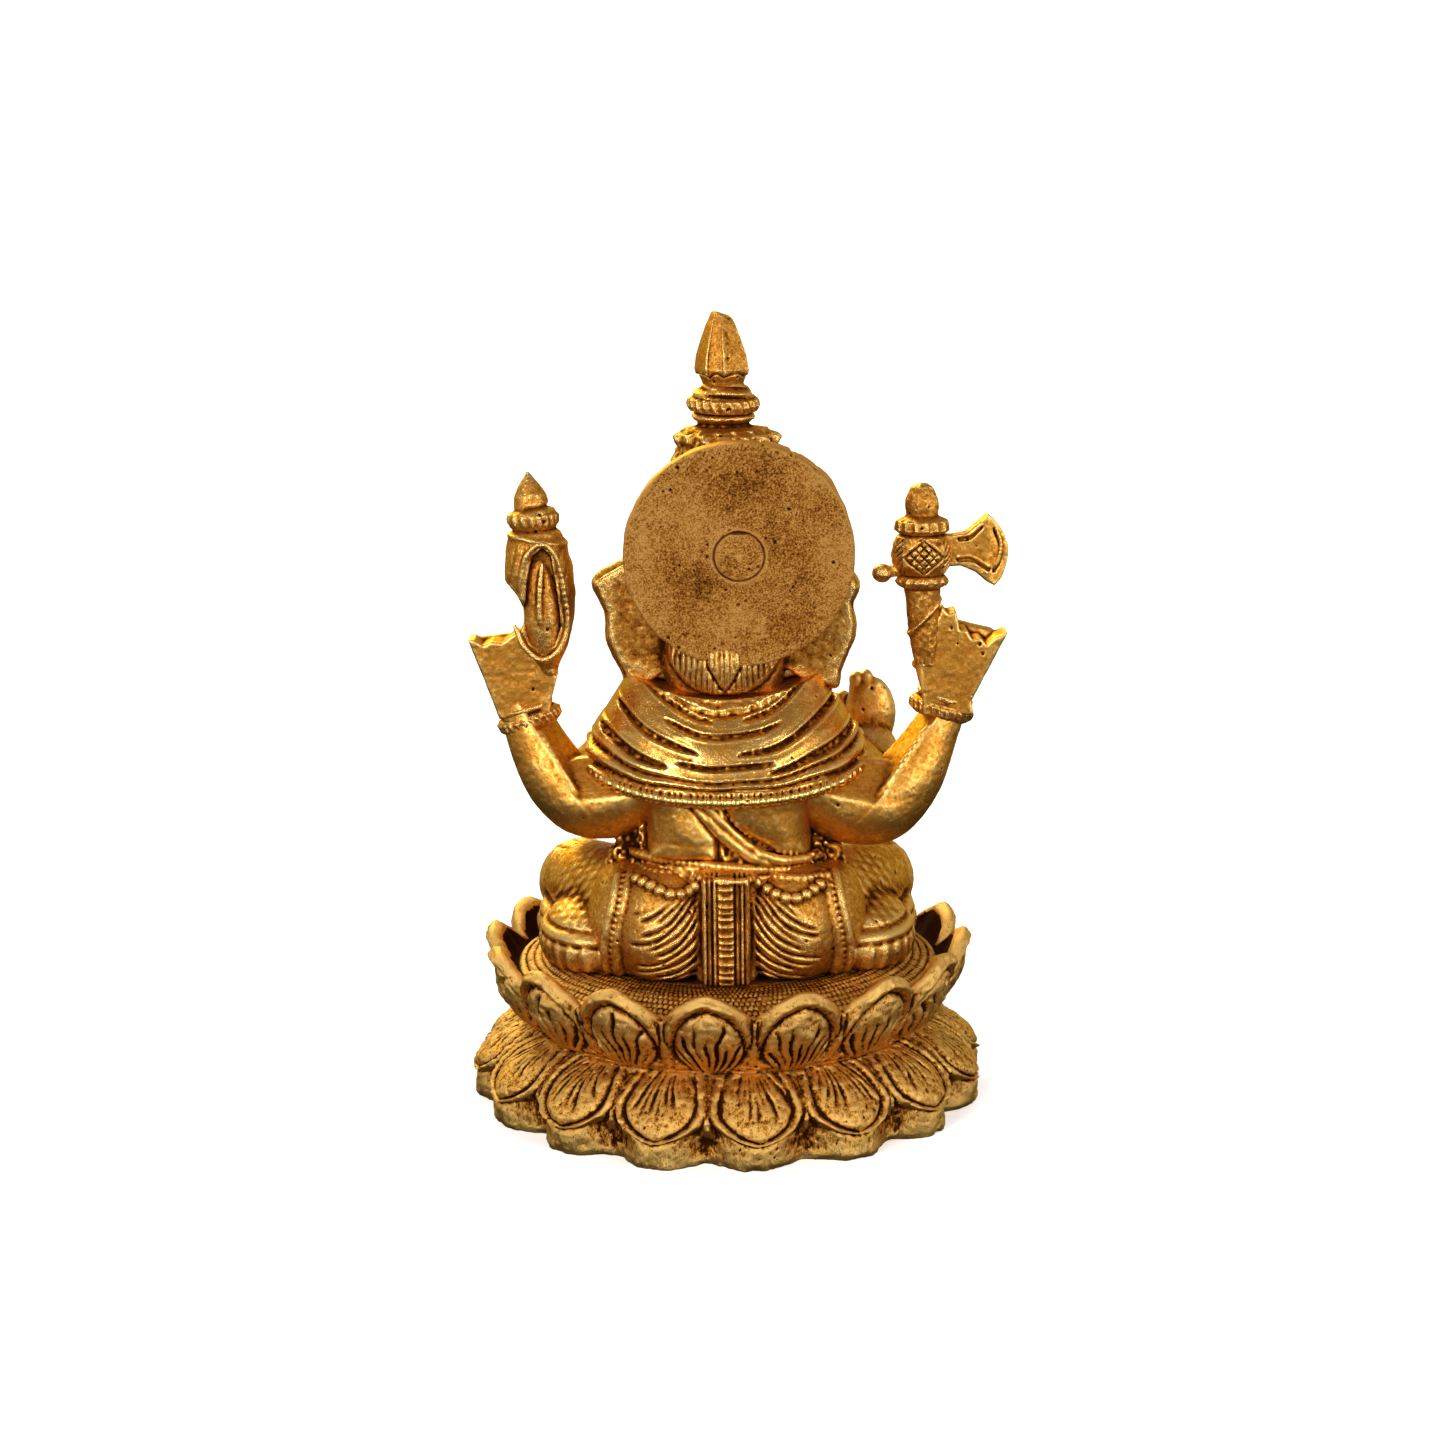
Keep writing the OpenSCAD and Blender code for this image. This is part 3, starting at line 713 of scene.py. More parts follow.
def lotus_upper():
    """The up-turned petals with their rims, the bowl inside them, and the hollow below."""
    angle = LOTUS_ANGLE
    x, number = petal_place(angle, -0.22)
    arc = x * PETAL_STEP * UPPER_ARC_R
    across = np.abs(arc)
    arch = np.clip(1 - (across / 9.1) ** 1.8, 0, 1)
    lip = SEAT_Z - 2.6 + (TIP_Z - SEAT_Z + 1.2) * arch
    z = WAIST_Z + (lip - WAIST_Z) * np.linspace(0, 1, 60)[:, None]
    tall = TIP_Z - WAIST_Z
    rise = (z - WAIST_Z) / tall
    swell = 39.6 + 8.0 * (1 - (1 - np.minimum(rise / 0.93, 1)) ** 2.2) - 1.1 * smooth(0.85, 1.0, rise)
    swell = swell - 0.036 * across ** 2
    side = 5.2 + 3.2 * smooth(0.0, 0.5, rise)
    inside = np.minimum((side - across) * 0.9, np.where(arch > 0, (lip - z) * 0.72 + 0.1, 9))
    from_middle = z - WAIST_Z - 0.30 * tall
    half_tall = np.where(from_middle > 0, 0.50 * tall, 0.62 * tall)
    face = (1 - np.sqrt((across / 7.3) ** 1.7 + (np.abs(from_middle) / half_tall) ** 1.8)) * 6.6
    rim = 0.70 * bump_at(face, -0.9, 0.7) - 0.75 * bump_at(face, 0.0, 0.45)
    dome = np.where(face > 0, 1.1 * (1 - np.exp(-np.maximum(face, 0) / 1.8)) - 0.6, -0.10)
    cuts = veins(arc, z, WAIST_Z - 4.0, number[None, :], 18.5, 4) * smooth(0.3, 0.9, face)
    leaf = 2.1 * bump_at(across, 9.03, 1.3)
    valley = 38.8 + 5.4 * rise ** 0.85 + leaf * smooth(0.05, 0.35, rise)
    radius = np.maximum(swell + rim + dome - 1.6 * cuts + 2.2 * np.minimum(inside, 0), valley)
    radius -= 0.7 * smooth(0.09, 0.0, rise)
    points = rings(radius, z, angle)
    radius = radius + (0.17 + 0.12 * bump_at(face, -0.9, 0.9)) * noise(points, 0.8, 6)
    radius = radius + 0.35 * noise(points, 3.5, 7)
    radius = radius + 0.16 * noise(points, 0.9, 16) * smooth(0.25, 0.0, rise)
    brim = radius[-1]
    over = np.radians([35, 70, 105, 140])[:, None]  # round the brim
    rounded = rings(brim - 0.9 + 0.9 * np.cos(over), lip + 0.7 * np.sin(over), angle)
    drop = np.linspace(0, 1, 8)[:, None]
    inner_r = brim - 1.9 - 0.9 * arch - (1.6 + 3.2 * arch) * drop ** 1.4
    bowl = rings(inner_r, lip - (lip - SEAT_Z + 2.6) * np.minimum(1.35 * drop, 1), angle)
    # across the seat, down the screw's hole, and down the hollow to the spigot
    inner = [(34.4, SEAT_Z - 0.4), (8, SEAT_Z - 0.4), (2.9, SEAT_Z - 0.4), (2.65, SEAT_Z - 0.6),
             (2.65, BODY_Z - 4.7), (2.9, BODY_Z - 5), (10, BODY_Z - 5), (18, BODY_Z - 5), (22, BODY_Z - 5.1),
             (26, BODY_Z - 8.5), (32.5, WAIST_Z), (32.5, SPIGOT_Z + 0.4), (32.9, SPIGOT_Z), (36.4, SPIGOT_Z),
             (36.75, SPIGOT_Z + 0.3), (36.75, WAIST_Z), (38.2, WAIST_Z)]
    points = np.concatenate([rings(radius, z, angle), rounded, bowl, turned_rings(inner, angle)])
    ring_piece("lotus_upper_tier_cast", points, ["lotus_upper_tier"], lotus_brass, pits=160, seed=12,
               rough=0.09)


def punched_seat():
    """The flat of the lotus, covered in rows of small raised dots."""
    outer_r, inner_r, pitch = 41.2, 26.0, 1.5
    angle = round_angles(1100)
    top_r = np.linspace(outer_r, inner_r, 61)[:, None] + 0 * angle
    row = np.floor((outer_r - top_r) / pitch)
    dots = np.abs(np.sin((outer_r - top_r) * math.pi / pitch) * np.cos(angle * 110 + math.pi / 2 * row))
    slope = 0.4 + 2.0 * smooth(32.5, 43.0, top_r)
    unevenness = 0.8 + 0.4 * noise(rings(top_r, 0.0, angle), 1.6, 15)
    z = SEAT_Z - slope + 0.6 * dots ** 0.7 * unevenness
    under = turned_rings([(inner_r, SEAT_Z - 2.9), (outer_r, SEAT_Z - 2.9)], angle)
    # painted shade: the seat is painted darker towards its middle, under the figure
    ring_piece("lotus_seat_dots", np.concatenate([rings(top_r, z, angle), under]), [], lotus_brass,
               seed=13, rough=0.02, stain=lambda x, y, z: 0.35 * smooth(36, 31, np.hypot(x, y)))


lotus_lower()
lotus_upper()
punched_seat()


# ---------------------------------------------------------------- figure

SEAT = BODY_Z + 0.05  # where the figure ends below, before it is lowered by SEAT_DROP
FULL_TURN = np.linspace(0, 2 * math.pi, 40)


def oval(z_marks, half_x, back, front, middle_y, power=2.2):
    """An upright body whose oval section changes with height."""
    def distance(x, y, z):
        a = np.interp(z, z_marks, half_x)
        b = np.where(y > middle_y, np.interp(z, z_marks, back), np.interp(z, z_marks, front))
        k = (np.abs(x / a) ** power + np.abs((y - middle_y) / b) ** power) ** (1 / power)
        return (k - 1) * np.minimum(a, b)
    reach_x, reach_y = max(half_x), max(max(back), max(front))
    return (np.array([-reach_x, middle_y - reach_y, z_marks[0]]),
            np.array([reach_x, middle_y + reach_y, z_marks[-1]]), distance)


def above(height):
    """The space above a height."""
    return lambda x, y, z: height - z


def below(height):
    """The space below a height."""
    return lambda x, y, z: z - height


def on_back(clay, x, z, front=False):
    """The Y of the clay's back or front surface at each x and z of a line, carried on where the clay ends."""
    x, z = np.atleast_1d(x).astype(float), np.atleast_1d(z).astype(float)
    i = np.clip(np.round((x - clay.low[0]) / clay.step).astype(int), 0, clay.count[0] - 1)
    k = np.clip(np.round((z - clay.low[2]) / clay.step).astype(int), 0, clay.count[2] - 1)
    columns = clay.field[i, :, k] < 0
    last = np.argmax(columns, axis=1) if front else clay.count[1] - 1 - np.argmax(columns[:, ::-1], axis=1)
    met = np.flatnonzero(columns.any(axis=1))
    return np.interp(np.arange(len(x)), met, clay.low[1] + last[met] * clay.step)


def laid(clay, points, count, sink=0.0, front=False):
    """A smooth line through (x, z) points, laid on the clay's back or front."""
    line = curve([(x, 0, z) for x, z in points], count)
    line[:, 1] = on_back(clay, line[:, 0], line[:, 2], front) - sink
    line[1:-1, 1] = (line[:-2, 1] + line[1:-1, 1] + line[2:, 1]) / 3
    return line


def beads(clay, line, radius, pitch, blend=0.15):
    """Balls a pitch apart along a line."""
    along = np.concatenate([[0], np.cumsum(np.linalg.norm(np.diff(line, axis=0), axis=1))])
    for mark in np.arange(pitch / 2, along[-1], pitch):
        clay.add(ball([np.interp(mark, along, line[:, k]) for k in range(3)], radius), blend)


def painted_shade_at_the_foot(x, y, z):
    """Painted shade where the figure meets its seat, darkest at its foot."""
    return 0.55 * smooth(SEAT_Z + 1.8, SEAT_Z + 0.1, z)


def hips():
    """The hips with their cut folds, the central pleats, the belt and its loops of beads."""
    clay = Clay((-30, 2, SEAT - 1.5), (30, 34, 54), 0.27)
    middle_x = 0.2
    for side in (1, -1):
        clay.add(egg((side * 12.0, 14.5, 39.5), (10.9, 15.0, 13.5)), 0.5)
        clay.add(egg((side * 19, 12, 38), (8, 11.5, 13)), 1.5)
    clay.add(block((middle_x, 14, 40.5), (6, 12, 13), edge=3), 1.0)  # fills the space between the two

    def folds(x, y, z):
        pitch = 1.45
        out = np.abs(x - middle_x) - 5.0
        rise = 9.0 * np.clip(1 - out / 14.0, 0, 1) ** 1.7 * (0.35 + 0.65 * np.clip((z - 32) / 13, 0, 1))
        row = (z - rise) / pitch
        number = np.round(row)
        uneven = 0.5 + 0.5 * np.sin(number * 2.4 + np.sign(x))
        reach = 11.2 + 2.6 * np.sin(number * 1.7 + 1.1 * np.sign(x))
        line = bump_at((row - number) * pitch + 0.12 * np.sin(0.7 * out + 2 * number), 0, 0.34)
        line = line * smooth(0.3, 1.0, out) * smooth(reach, reach - 2.2, out)
        line = line * smooth(47.5 - 0.2 * out, 46.0 - 0.3 * out, z) * smooth(8, 12, y) * (0.6 + 0.4 * uneven)
        return -0.75 * line
    clay.relief((-30, 6, SEAT), (30, 34, 50), folds)
    clay.cut(limb((5.2, 27.4, 29), 1.0, (5.0, 27.0, 50.5), 0.8), 0.3)
    clay.cut(limb((-4.8, 27.4, 29), 1.0, (-4.6, 27.0, 50.5), 0.8), 0.3)
    clay.add(block((middle_x, 17.5, 40), (4.5, 10.3, 10.8), edge=0.6), 0.3)  # the pleated band

    def pleats(x, y, z):
        out = np.abs(x - middle_x)
        mask = smooth(4.8, 4.4, out) * smooth(22, 25, y)
        edges = bump_at(out, 3.95, 0.27) + bump_at(out, 3.05, 0.25) + bump_at(out, 2.15, 0.22)
        valleys = bump_at(out, 3.5, 0.22) + bump_at(out, 2.6, 0.2) + 0.8 * bump_at(out, 1.65, 0.22)
        rungs = ridges(z + 0.25 * np.sin(z), 1.42, 0.34) * smooth(1.6, 1.35, out)
        return mask * (0.42 * edges - 0.55 * valleys + 0.45 * rungs)
    clay.relief((-6, 20, SEAT), (6, 34, 51), pleats)

    for side in (1, -1):
        strap = laid(clay, [(side * 18.2, 49.6), (side * 18.9, 46), (side * 20.2, 40), (side * 20.8, 35),
                            (side * 20.4, 30)], 26, 0.6)
        worm(clay, strap, np.linspace(0.9, 1.2, 26), 0.5)
        worm(clay, strap + (side * 2.2, -0.8, 0), np.linspace(0.8, 1.1, 26), 0.5)
        beads(clay, strap + (side * 1.1, 0.2, 0), 0.6, 1.3, 0.3)
    for loop in ([(17.6, 49.6), (14.3, 48.8), (11.1, 47.6), (7.7, 47.3), (5.6, 48.6)],
                 [(-5.2, 49.2), (-7.6, 47.8), (-10.6, 46.8), (-13.6, 46.7), (-17.6, 48.2)]):
        beads(clay, laid(clay, loop, 30, -0.15), 1.15, 2.1, 0.15)
    tops = [(19.5, 51.4), (10, 50.8), (0, 50.3), (-10, 49.9), (-20, 49.2)]
    beads(clay, laid(clay, tops, 50, 0.2), 0.85, 1.35, 0.35)
    clay.keep(above(SEAT), 1.3)
    clay.keep(below(51.8), 2.4)
    clay.make("hips", ["seated_body"], cast, drop=SEAT_DROP, pits=60, seed=21, stain=painted_shade_at_the_foot)

def waist():
    """The bare lower back between its straps, with the sash across it and the rope belt at its foot."""
    clay = Clay((-25, -20, 46), (25, 30, 68), 0.27)
    body = oval([46, 50, 56, 62, 68], [21.8, 21.4, 19.6, 19.8, 22], [20.8, 20.4, 19.2, 19.4, 20],
                [18, 19, 19, 18, 17], 4)
    clay.add(body, 0.1)

    def panels(x, y, z):
        left = np.minimum(15.0 - x, x - 1.6 - np.maximum(0, z - 57) * 0.75)
        left = np.minimum(left, z - 52.9 + 0.05 * x)
        right = np.minimum(x + 16.2, -2.2 - x + np.maximum(0, z - 58) * 0.5)
        right = np.minimum(right, z - 52.2 - 0.75 * np.maximum(0, x + 12.0) * 0.9)
        inside = np.maximum(left, right)
        field = 1.9 * (1 - np.exp(-np.maximum(inside, 0) / 2.2)) - 0.9 * bump_at(inside, -0.1, 0.55) - 0.5
        rough = 0.6 * smooth(-0.3, -0.9, inside) * noise_at(x, y, z, 0.9, 22)
        return (field + rough) * smooth(6, 12, y)
    clay.relief((-25, 5, 47), (25, 30, 67), panels)
    sash = [(6.4, 64.0), (3.4, 60.8), (0.4, 57.6), (-2.8, 54.8), (-6.2, 52.9), (-10, 51.9), (-17.4, 51.2)]
    low = laid(clay, sash, 44, 0.1)
    worm(clay, low, np.linspace(1.0, 1.3, 44), 0.25)
    high = laid(clay, [(x - 1.5, z + 0.6) for x, z in sash], 44, 0.15)
    worm(clay, high, np.linspace(0.8, 0.95, 44), 0.2)
    beads(clay, laid(clay, [(x - 3.3, z + 1.6) for x, z in sash[:-1]], 40, 0.1), 0.55, 1.25, 0.2)
    for side in (1, -1):
        strap = laid(clay, [(side * 16.6, 65), (side * 17.4, 60), (side * 18.6, 55), (side * 20.8, 47)],
                     24, 0.6)
        worm(clay, strap, np.linspace(1.7, 2.7, 24), 0.6)
        beads(clay, strap + (side * 0.4, 1.6, 0), 0.7, 1.45, 0.3)
        beads(clay, strap + (side * -1.0, 1.3, 0), 0.6, 1.3, 0.3)

    def gnarled(x, y, z):
        return 0.65 * noise_at(x, y, z, 0.9, 23) * smooth(15.6, 16.8, np.abs(x))
    clay.relief((-25, 5, 47), (25, 30, 67), gnarled)
    belt = laid(clay, [(17.8, 52.6), (10, 52.4), (0, 51.8), (-8, 51.0), (-18.2, 50.2)], 50, 0.2)
    worm(clay, belt, 0.9, 0.3)
    beads(clay, belt + (0, 0.5, 0), 0.8, 1.2, 0.2)
    clay.keep(above(46.6), 0.3)
    clay.keep(below(67), 0.3)
    # the waist is made darker towards both sides, over the straps
    clay.make("waist", ["seated_body"], cast_smooth, "worn_brass", drop=SEAT_DROP, pits=40, seed=22,
              stain=lambda x, y, z: 0.45 * smooth(15.4, 17.0, np.abs(x)))


def legs():
    """Crossed legs under pleated cloth, the knees, the feet and the skirts that spread at each side."""
    clay = Clay((-41, -40, SEAT - 1.5), (41, 24, 52), 0.42)
    for side in (1, -1):
        clay.add(limb((side * 17, 6, 39), 11.5, (side * 29.5, -17, 38.5), 8.6), 1.0)  # thigh
        clay.add(limb((side * 29, -18, 38), 8.6, (side * 6, -29, 35.5), 5.4), 1.2)  # shin
        clay.add(egg((side * 27.5, 7, 33.5), (8.6, 13, 8.2), (0, 0, side * 14)), 1.5)  # skirt
        clay.add(egg((side * 31.0, -7, 33), (6.6, 13, 6.5), (0, 0, side * 6)), 1.5)
    clay.add(egg((0, -20, 34), (22, 15, 9)), 2)  # lap
    clay.add(block((0, -6, 38), (18, 20, 9), edge=6), 3)

    def cloth(x, y, z):
        out = np.hypot(np.abs(x), y)
        turn = np.degrees(np.arctan2(y, np.abs(x) - 8))
        behind = smooth(-14, -8, y)
        cuff = bump_at(z, 36.2, 1.1) * 0.5 * behind
        lines = -0.4 * bump_at(z, 35.0, 0.35) - 0.4 * bump_at(z, 37.6, 0.35)
        fall = ridges(turn, 6.5, 1.6) * 0.5 * (smooth(35.4, 34.6, z) * behind)
        hatch = ridges(np.abs(x) * 0.8 + z * 0.55 - 0.2 * y, 1.6, 0.42) * ridges(z * 0.9 - 0.5 * y, 2.1, 0.75)
        slant = 0.30 * hatch * smooth(37.8, 38.6, z) * smooth(-8, -2, y)
        return (fall + cuff + lines * behind + slant) * smooth(24, 27, out)
    clay.relief((-41, -16, SEAT), (41, 24, 50), cloth)

    def shins(x, y, z):
        wrap = ridges(np.abs(x) + 0.5 * y + 0.35 * z, 3.2, 0.35)
        return -0.24 * smooth(-10, -16, y) * wrap * smooth(33, 35, z)
    clay.relief((-41, -40, SEAT), (41, -8, 48), shins)
    for side, toe_y in ((1, -35.0), (-1, -34.2)):
        heel, sole = np.array((side * 2.5, toe_y + 0.6, 35.0)), np.array((side * 11.5, toe_y, 34.4))
        clay.add(limb(heel, 2.7, sole, 3.3), 0.8)
        for toe in range(5):
            start = sole + (side * 1.6, -0.5, 2.4 - 1.2 * toe)
            tip = start + (side * (3.4 - 0.35 * toe), -0.3, 0)
            clay.add(limb(start, 1.05 - 0.07 * toe, tip, 0.9 - 0.07 * toe), 0.2)
        anklet = heel + (side * 2.2, 0, 0)
        for spot in circled(anklet, (0.4, 3.0, 0), (0, 0, 3.1), np.radians(np.arange(0, 360, 24))):
            clay.add(ball(spot, 0.75), 0.2)
    clay.keep(above(SEAT), 0.8)
    clay.make("legs", ["seated_body"], cast, drop=SEAT_DROP, pits=90, seed=23, stain=painted_shade_at_the_foot)


def belly():
    """The round belly with its navel, a snake girdle and a sacred thread."""
    clay = Clay((-23, -28, 36), (23, 6, 80), 0.36)
    clay.add(egg((0, -5, 54), (19.4, 18.8, 17.5)), 0.1)
    clay.add(egg((0, -3, 70), (18, 14, 12)), 4)  # chest
    clay.add(egg((0, -6, 46.5), (19.6, 18.0, 12)), 4)  # foot of the belly
    clay.cut(ball((0, -24.4, 52), 1.5), 0.5)  # navel
    for turn in (0, 1):
        girdle = [(19 * math.cos(a), -5 - 18.6 * math.sin(a), 45.5 + 1.8 * turn + 1.5 * math.sin(a))
                  for a in np.linspace(0.2, math.pi - 0.2, 40)]
        worm(clay, np.array(girdle), 1.0, 0.3)
    thread = curve([(-13, -11, 72), (-7, -19.5, 66), (2, -23.4, 58), (11, -21.5, 50), (16, -13, 45)], 40)
    worm(clay, thread, 0.75, 0.3)
    beads(clay, thread + (0.6, -0.8, 0.5), 0.55, 1.2, 0.2)
    clay.keep(above(37), 0.3)
    clay.keep(below(79), 0.3)
    clay.make("belly", ["seated_body"], polished, "worn_brass", pits=30, seed=24)


def shawl_level(x, z):
    """The height at which the sagging fold of the shawl through (x, z) crosses the middle."""
    q = (np.abs(x) / 20) ** 2.3
    return (z - (2.8 - 0.93 * 66.7) * q) / (1 + 0.93 * q)


def shawl():
    """The shawl over the shoulders: sagging folds with rough slots between them, and a rope border."""
    clay = Clay((-32, -22, 60), (32, 29, 88), 0.29)
    marks = [60, 64, 67, 70, 75, 80, 84, 88]
    body = oval(marks, [26.4, 27.3, 27.6, 27.2, 24.9, 21.4, 18.9, 17.5],
                [21.8, 21.6, 21.0, 20.2, 17.6, 13.6, 11.2, 10.2], [17, 18, 18, 17.5, 16, 13.5, 11.5, 10], 4)
    clay.add(body, 0.1)
    # each slot's level at the middle, and the X of its ends
    slots = [(74.9, -10.9, 11.6), (71.9, 4.9, 20.5), (71.7, -22.8, -2.0), (69.5, -9.3, 9.3),
             (68.5, 10.8, 24.0), (68.1, -26.2, -8.0), (77.4, -16.6, -3.0), (77.6, 2.0, 17.5)]

    def folds(x, y, z):
        level = shawl_level(x, z) + 0.12 * np.sin(0.5 * x)
        rough = noise_at(x, y, z, 0.8, 27)
        height = 0.0
        for middle, low, high in slots:
            span = np.clip((x - low) / (high - low), 0, 1)
            ends = 4 * span * (1 - span)
            lens = ends ** 0.3
            inside = 0.44 * lens - np.abs(level - middle)
            here = smooth(0.1, 0.9, lens)
            height = height - smooth(-0.12, 0.12, inside) * (0.55 + 0.30 * rough) * here
            height = height + 0.20 * bump_at(inside, -0.30, 0.22) * here
            height = height - 0.42 * smooth(0.0, 0.5, ends) * np.exp(-((level - middle) / 1.2) ** 2)
        for groove in (66.9, 65.6):
            height = height - (0.60 + 0.25 * rough) * bump_at(level, groove, 0.30)
            height = height + 0.20 * bump_at(level, groove + 0.5, 0.25)
        collar = smooth(78.2, 78.5, level)
        height = height + collar * (0.25 * rough - 0.35) - 0.5 * bump_at(level, 78.3, 0.3)
        for pleat in (79.7, 81.3, 83.0):
            height = height + 0.42 * bump_at(level + 0.15 * np.sin(x), pleat, 0.32) * (0.8 + 0.5 * rough)
        drape = -0.5 * ridges(z + 0.018 * x * x, 2.5, 0.42) * smooth(-1, -5, y) * smooth(10, 13, np.abs(x))
        return height * smooth(-2, 4, y) + drape
    clay.relief((-32, -22, 61), (32, 29, 87), folds)

    def hem(x, y, z):
        """Inside above the sagging hem on the back, and above a level line in front."""
        low = np.where(y > 0, 62.0 + 4.0 * (np.abs(x) / 27) ** 2.6, 66.0)
        return low - z
    clay.keep(hem, 0.4)
    clay.keep(lambda x, y, z: np.where(y > 4, z - 81.2 - 3.4 * (np.abs(x) / 18) ** 2, z - 84.6), 0.3)
    rope_points = [(x, 63.3 + 4.1 * (abs(x) / 27) ** 2.6) for x in np.linspace(-25.6, 25.6, 15)]
    rope = laid(clay, [(x, z + 0.6) for x, z in rope_points], 90, 0.1)
    rope[:, 2] -= 0.5
    worm(clay, rope, 1.05, 0.3)

    def notches(x, y, z):
        level = shawl_level(x, z)
        twist = ridges(x + 0.3 * np.sin(1.3 * x), 1.35, 0.22)
        return -0.34 * twist * smooth(65.2, 64.9, level) * smooth(5, 8, y)
    clay.relief((-27, 4, 60), (27, 30, 69), notches)
    for side in (1, -1):
        front = curve([(side * 26, -4, 70), (side * 20, -12, 70.5), (side * 12, -16.5, 72),
                       (side * 8, -15, 77)], 40)
        worm(clay, front, 1.3, 0.6)
        beads(clay, front + (0, -0.9, -0.9), 0.75, 1.5, 0.25)
        clay.cut(ball((side * 22, -6, 64), 7.0), 0.6)
    for row, size in ((0, 1.15), (1, 0.95), (2, 1.3)):
        necklace = [((15.5 - 0.5 * row) * part, 83.0 - 3.0 * row - 8 * (1 - part ** 2))
                    for part in (-1, -0.66, -0.33, 0, 0.33, 0.66, 1)]
        beads(clay, laid(clay, necklace, 60, 0.0, front=True), size, 2.1 * size, 0.2)
    clay.make("shawl", ["shawl_torso"], polished, "worn_brass", pits=70, seed=25, rough=0.02)
# ---------------------------------------------------------------- halo and crown

HALO_LEAN = math.radians(7.5)
HALO_HALF = 1.3  # half the thickness of the disc


def dished(name, rows, columns, profile, **finish):
    """A round plate in the plane of the halo: profile(t, angle) gives radius and height off its middle."""
    low, high = node_mm("halo_disc")
    angle = round_angles(columns)[None, :]
    radius, height = profile(np.linspace(0, 1, rows, endpoint=False)[:, None], angle)
    side = np.array([-1.0, 0, 0])
    up = np.array([0, math.sin(HALO_LEAN), math.cos(HALO_LEAN)])
    out = np.array([0, math.cos(HALO_LEAN), -math.sin(HALO_LEAN)])
    points = (low + high) / 2 + (radius * np.sin(angle))[..., None] * side
    points = points + (radius * np.cos(angle))[..., None] * up + height[..., None] * out
    points = points + sanded(points)[..., None] * out
    ring_piece(name, points, [name], disc_brass, "disc_brass", **finish)


def sanded(points):
    """The fine unevenness that grinding leaves on the disc."""
    x, z = points[..., 0], points[..., 2]
    line = np.stack([(x + z) / 0.35, (x - z) / 4.5, 0 * x], axis=-1)
    upper_left = smooth(4, 16, z - 109 + 0.4 * x)
    grind = 0.045 * noise(line, 1.0, 6) * upper_left + 0.03 * noise(points * (1, 1, 3), 1.2, 3)
    return grind + 0.05 * noise(points, 6.0, 2) + 0.02 * noise(points, 0.5, 7)


def halo():
    """The flat sanded disc behind the head, with the nicks in its rim, and the rivet in its middle."""
    low, high = node_mm("halo_disc")
    rivet_low, rivet_high = node_mm("halo_rivet")
    outer = (high[0] - low[0]) / 2
    inner = (rivet_high[0] - rivet_low[0]) / 2 + 0.06
    half = HALO_HALF

    def disc(t, angle):
        marks = [0, 0.02, 0.70, 0.735, 0.77, 0.80, 0.82, 0.98, 1.0]
        reach = [inner + 0.05, inner + 0.22, outer - 0.45, outer - 0.1, outer, outer, outer - 0.3,
                 inner + 0.3, inner]
        depth = [half - 0.35, half, half, half - 0.2, half - 0.6, -half + 0.3, -half, -half, -half + 0.3]
        turn = np.degrees((angle + math.pi) % (2 * math.pi) - math.pi)
        rim = smooth(0.68, 0.76, t) * smooth(0.9, 0.82, t)
        ragged = noise_at(9 * np.cos(angle), 9 * np.sin(angle), 0 * angle, 1.1, 4)
        border = smooth(6, 20, turn) * smooth(62, 50, turn) * smooth(0.78, 0.80, t)
        nicks = sum(size * bump_at(turn, where, 1.1) for where, size in
                    ((12, 0.9), (27, 1.2), (29.5, 0.7), (41, 0.5), (-33, 0.4), (-58, 0.3)))
        radius = np.interp(t, marks, reach) + rim * (0.10 * ragged - 0.35 * nicks + 0.55 * border)
        return radius, np.interp(t, marks, depth)

    def smudges_and_rim_highlight(x, y, z):
        up = z - (low[2] + high[2]) / 2
        dark = 0
        for weight, at_x, half_x, at_up, half_up in ((0.20, -3, 10, 10, 4.5), (0.17, -13, 5, -5, 5),
                                                     (0.15, 4, 5, -6, 3)):
            dark = dark + weight * np.exp(-((x - at_x) / half_x) ** 2 - ((up - at_up) / half_up) ** 2)
        # painted highlight: a thin band along the upper part of the rim is painted lighter, as its top edge
        # would be when lit
        from_rim = outer - np.hypot(x - (low[0] + high[0]) / 2, up)
        painted_rim_highlight = smooth(0.7, 0.2, from_rim) * smooth(2, 9, up)
        # dark smudges, a little lighter towards the statue's left, and the painted rim highlight
        return dark - 0.07 * smooth(9, 16, x + 0.3 * up) - 0.5 * painted_rim_highlight

    dished("halo_disc", 150, 512, disc, pits=40, seed=31, stain=smudges_and_rim_highlight)

    def rivet(t, angle):
        marks = [0, 0.62, 0.72, 0.80, 1.0]
        reach = [0.02, inner - 0.30, inner - 0.12, inner - 0.10, 0.02]
        depth = [half + 0.12, half + 0.08, half - 0.40, -half, -half]
        flat_top = np.minimum(1, 0.93 / np.maximum(np.cos(angle), 0.5))
        return np.interp(t, marks, reach) * flat_top, np.interp(t, marks, depth)

    dished("halo_rivet", 60, 240, rivet, pits=5, seed=32)


def crown_middle():
    """The X and Y of the crown's upright axis."""
    low, high = node_mm("crown_bud")
    return (low[0] + high[0]) / 2 - 0.1, (low[1] + high[1]) / 2


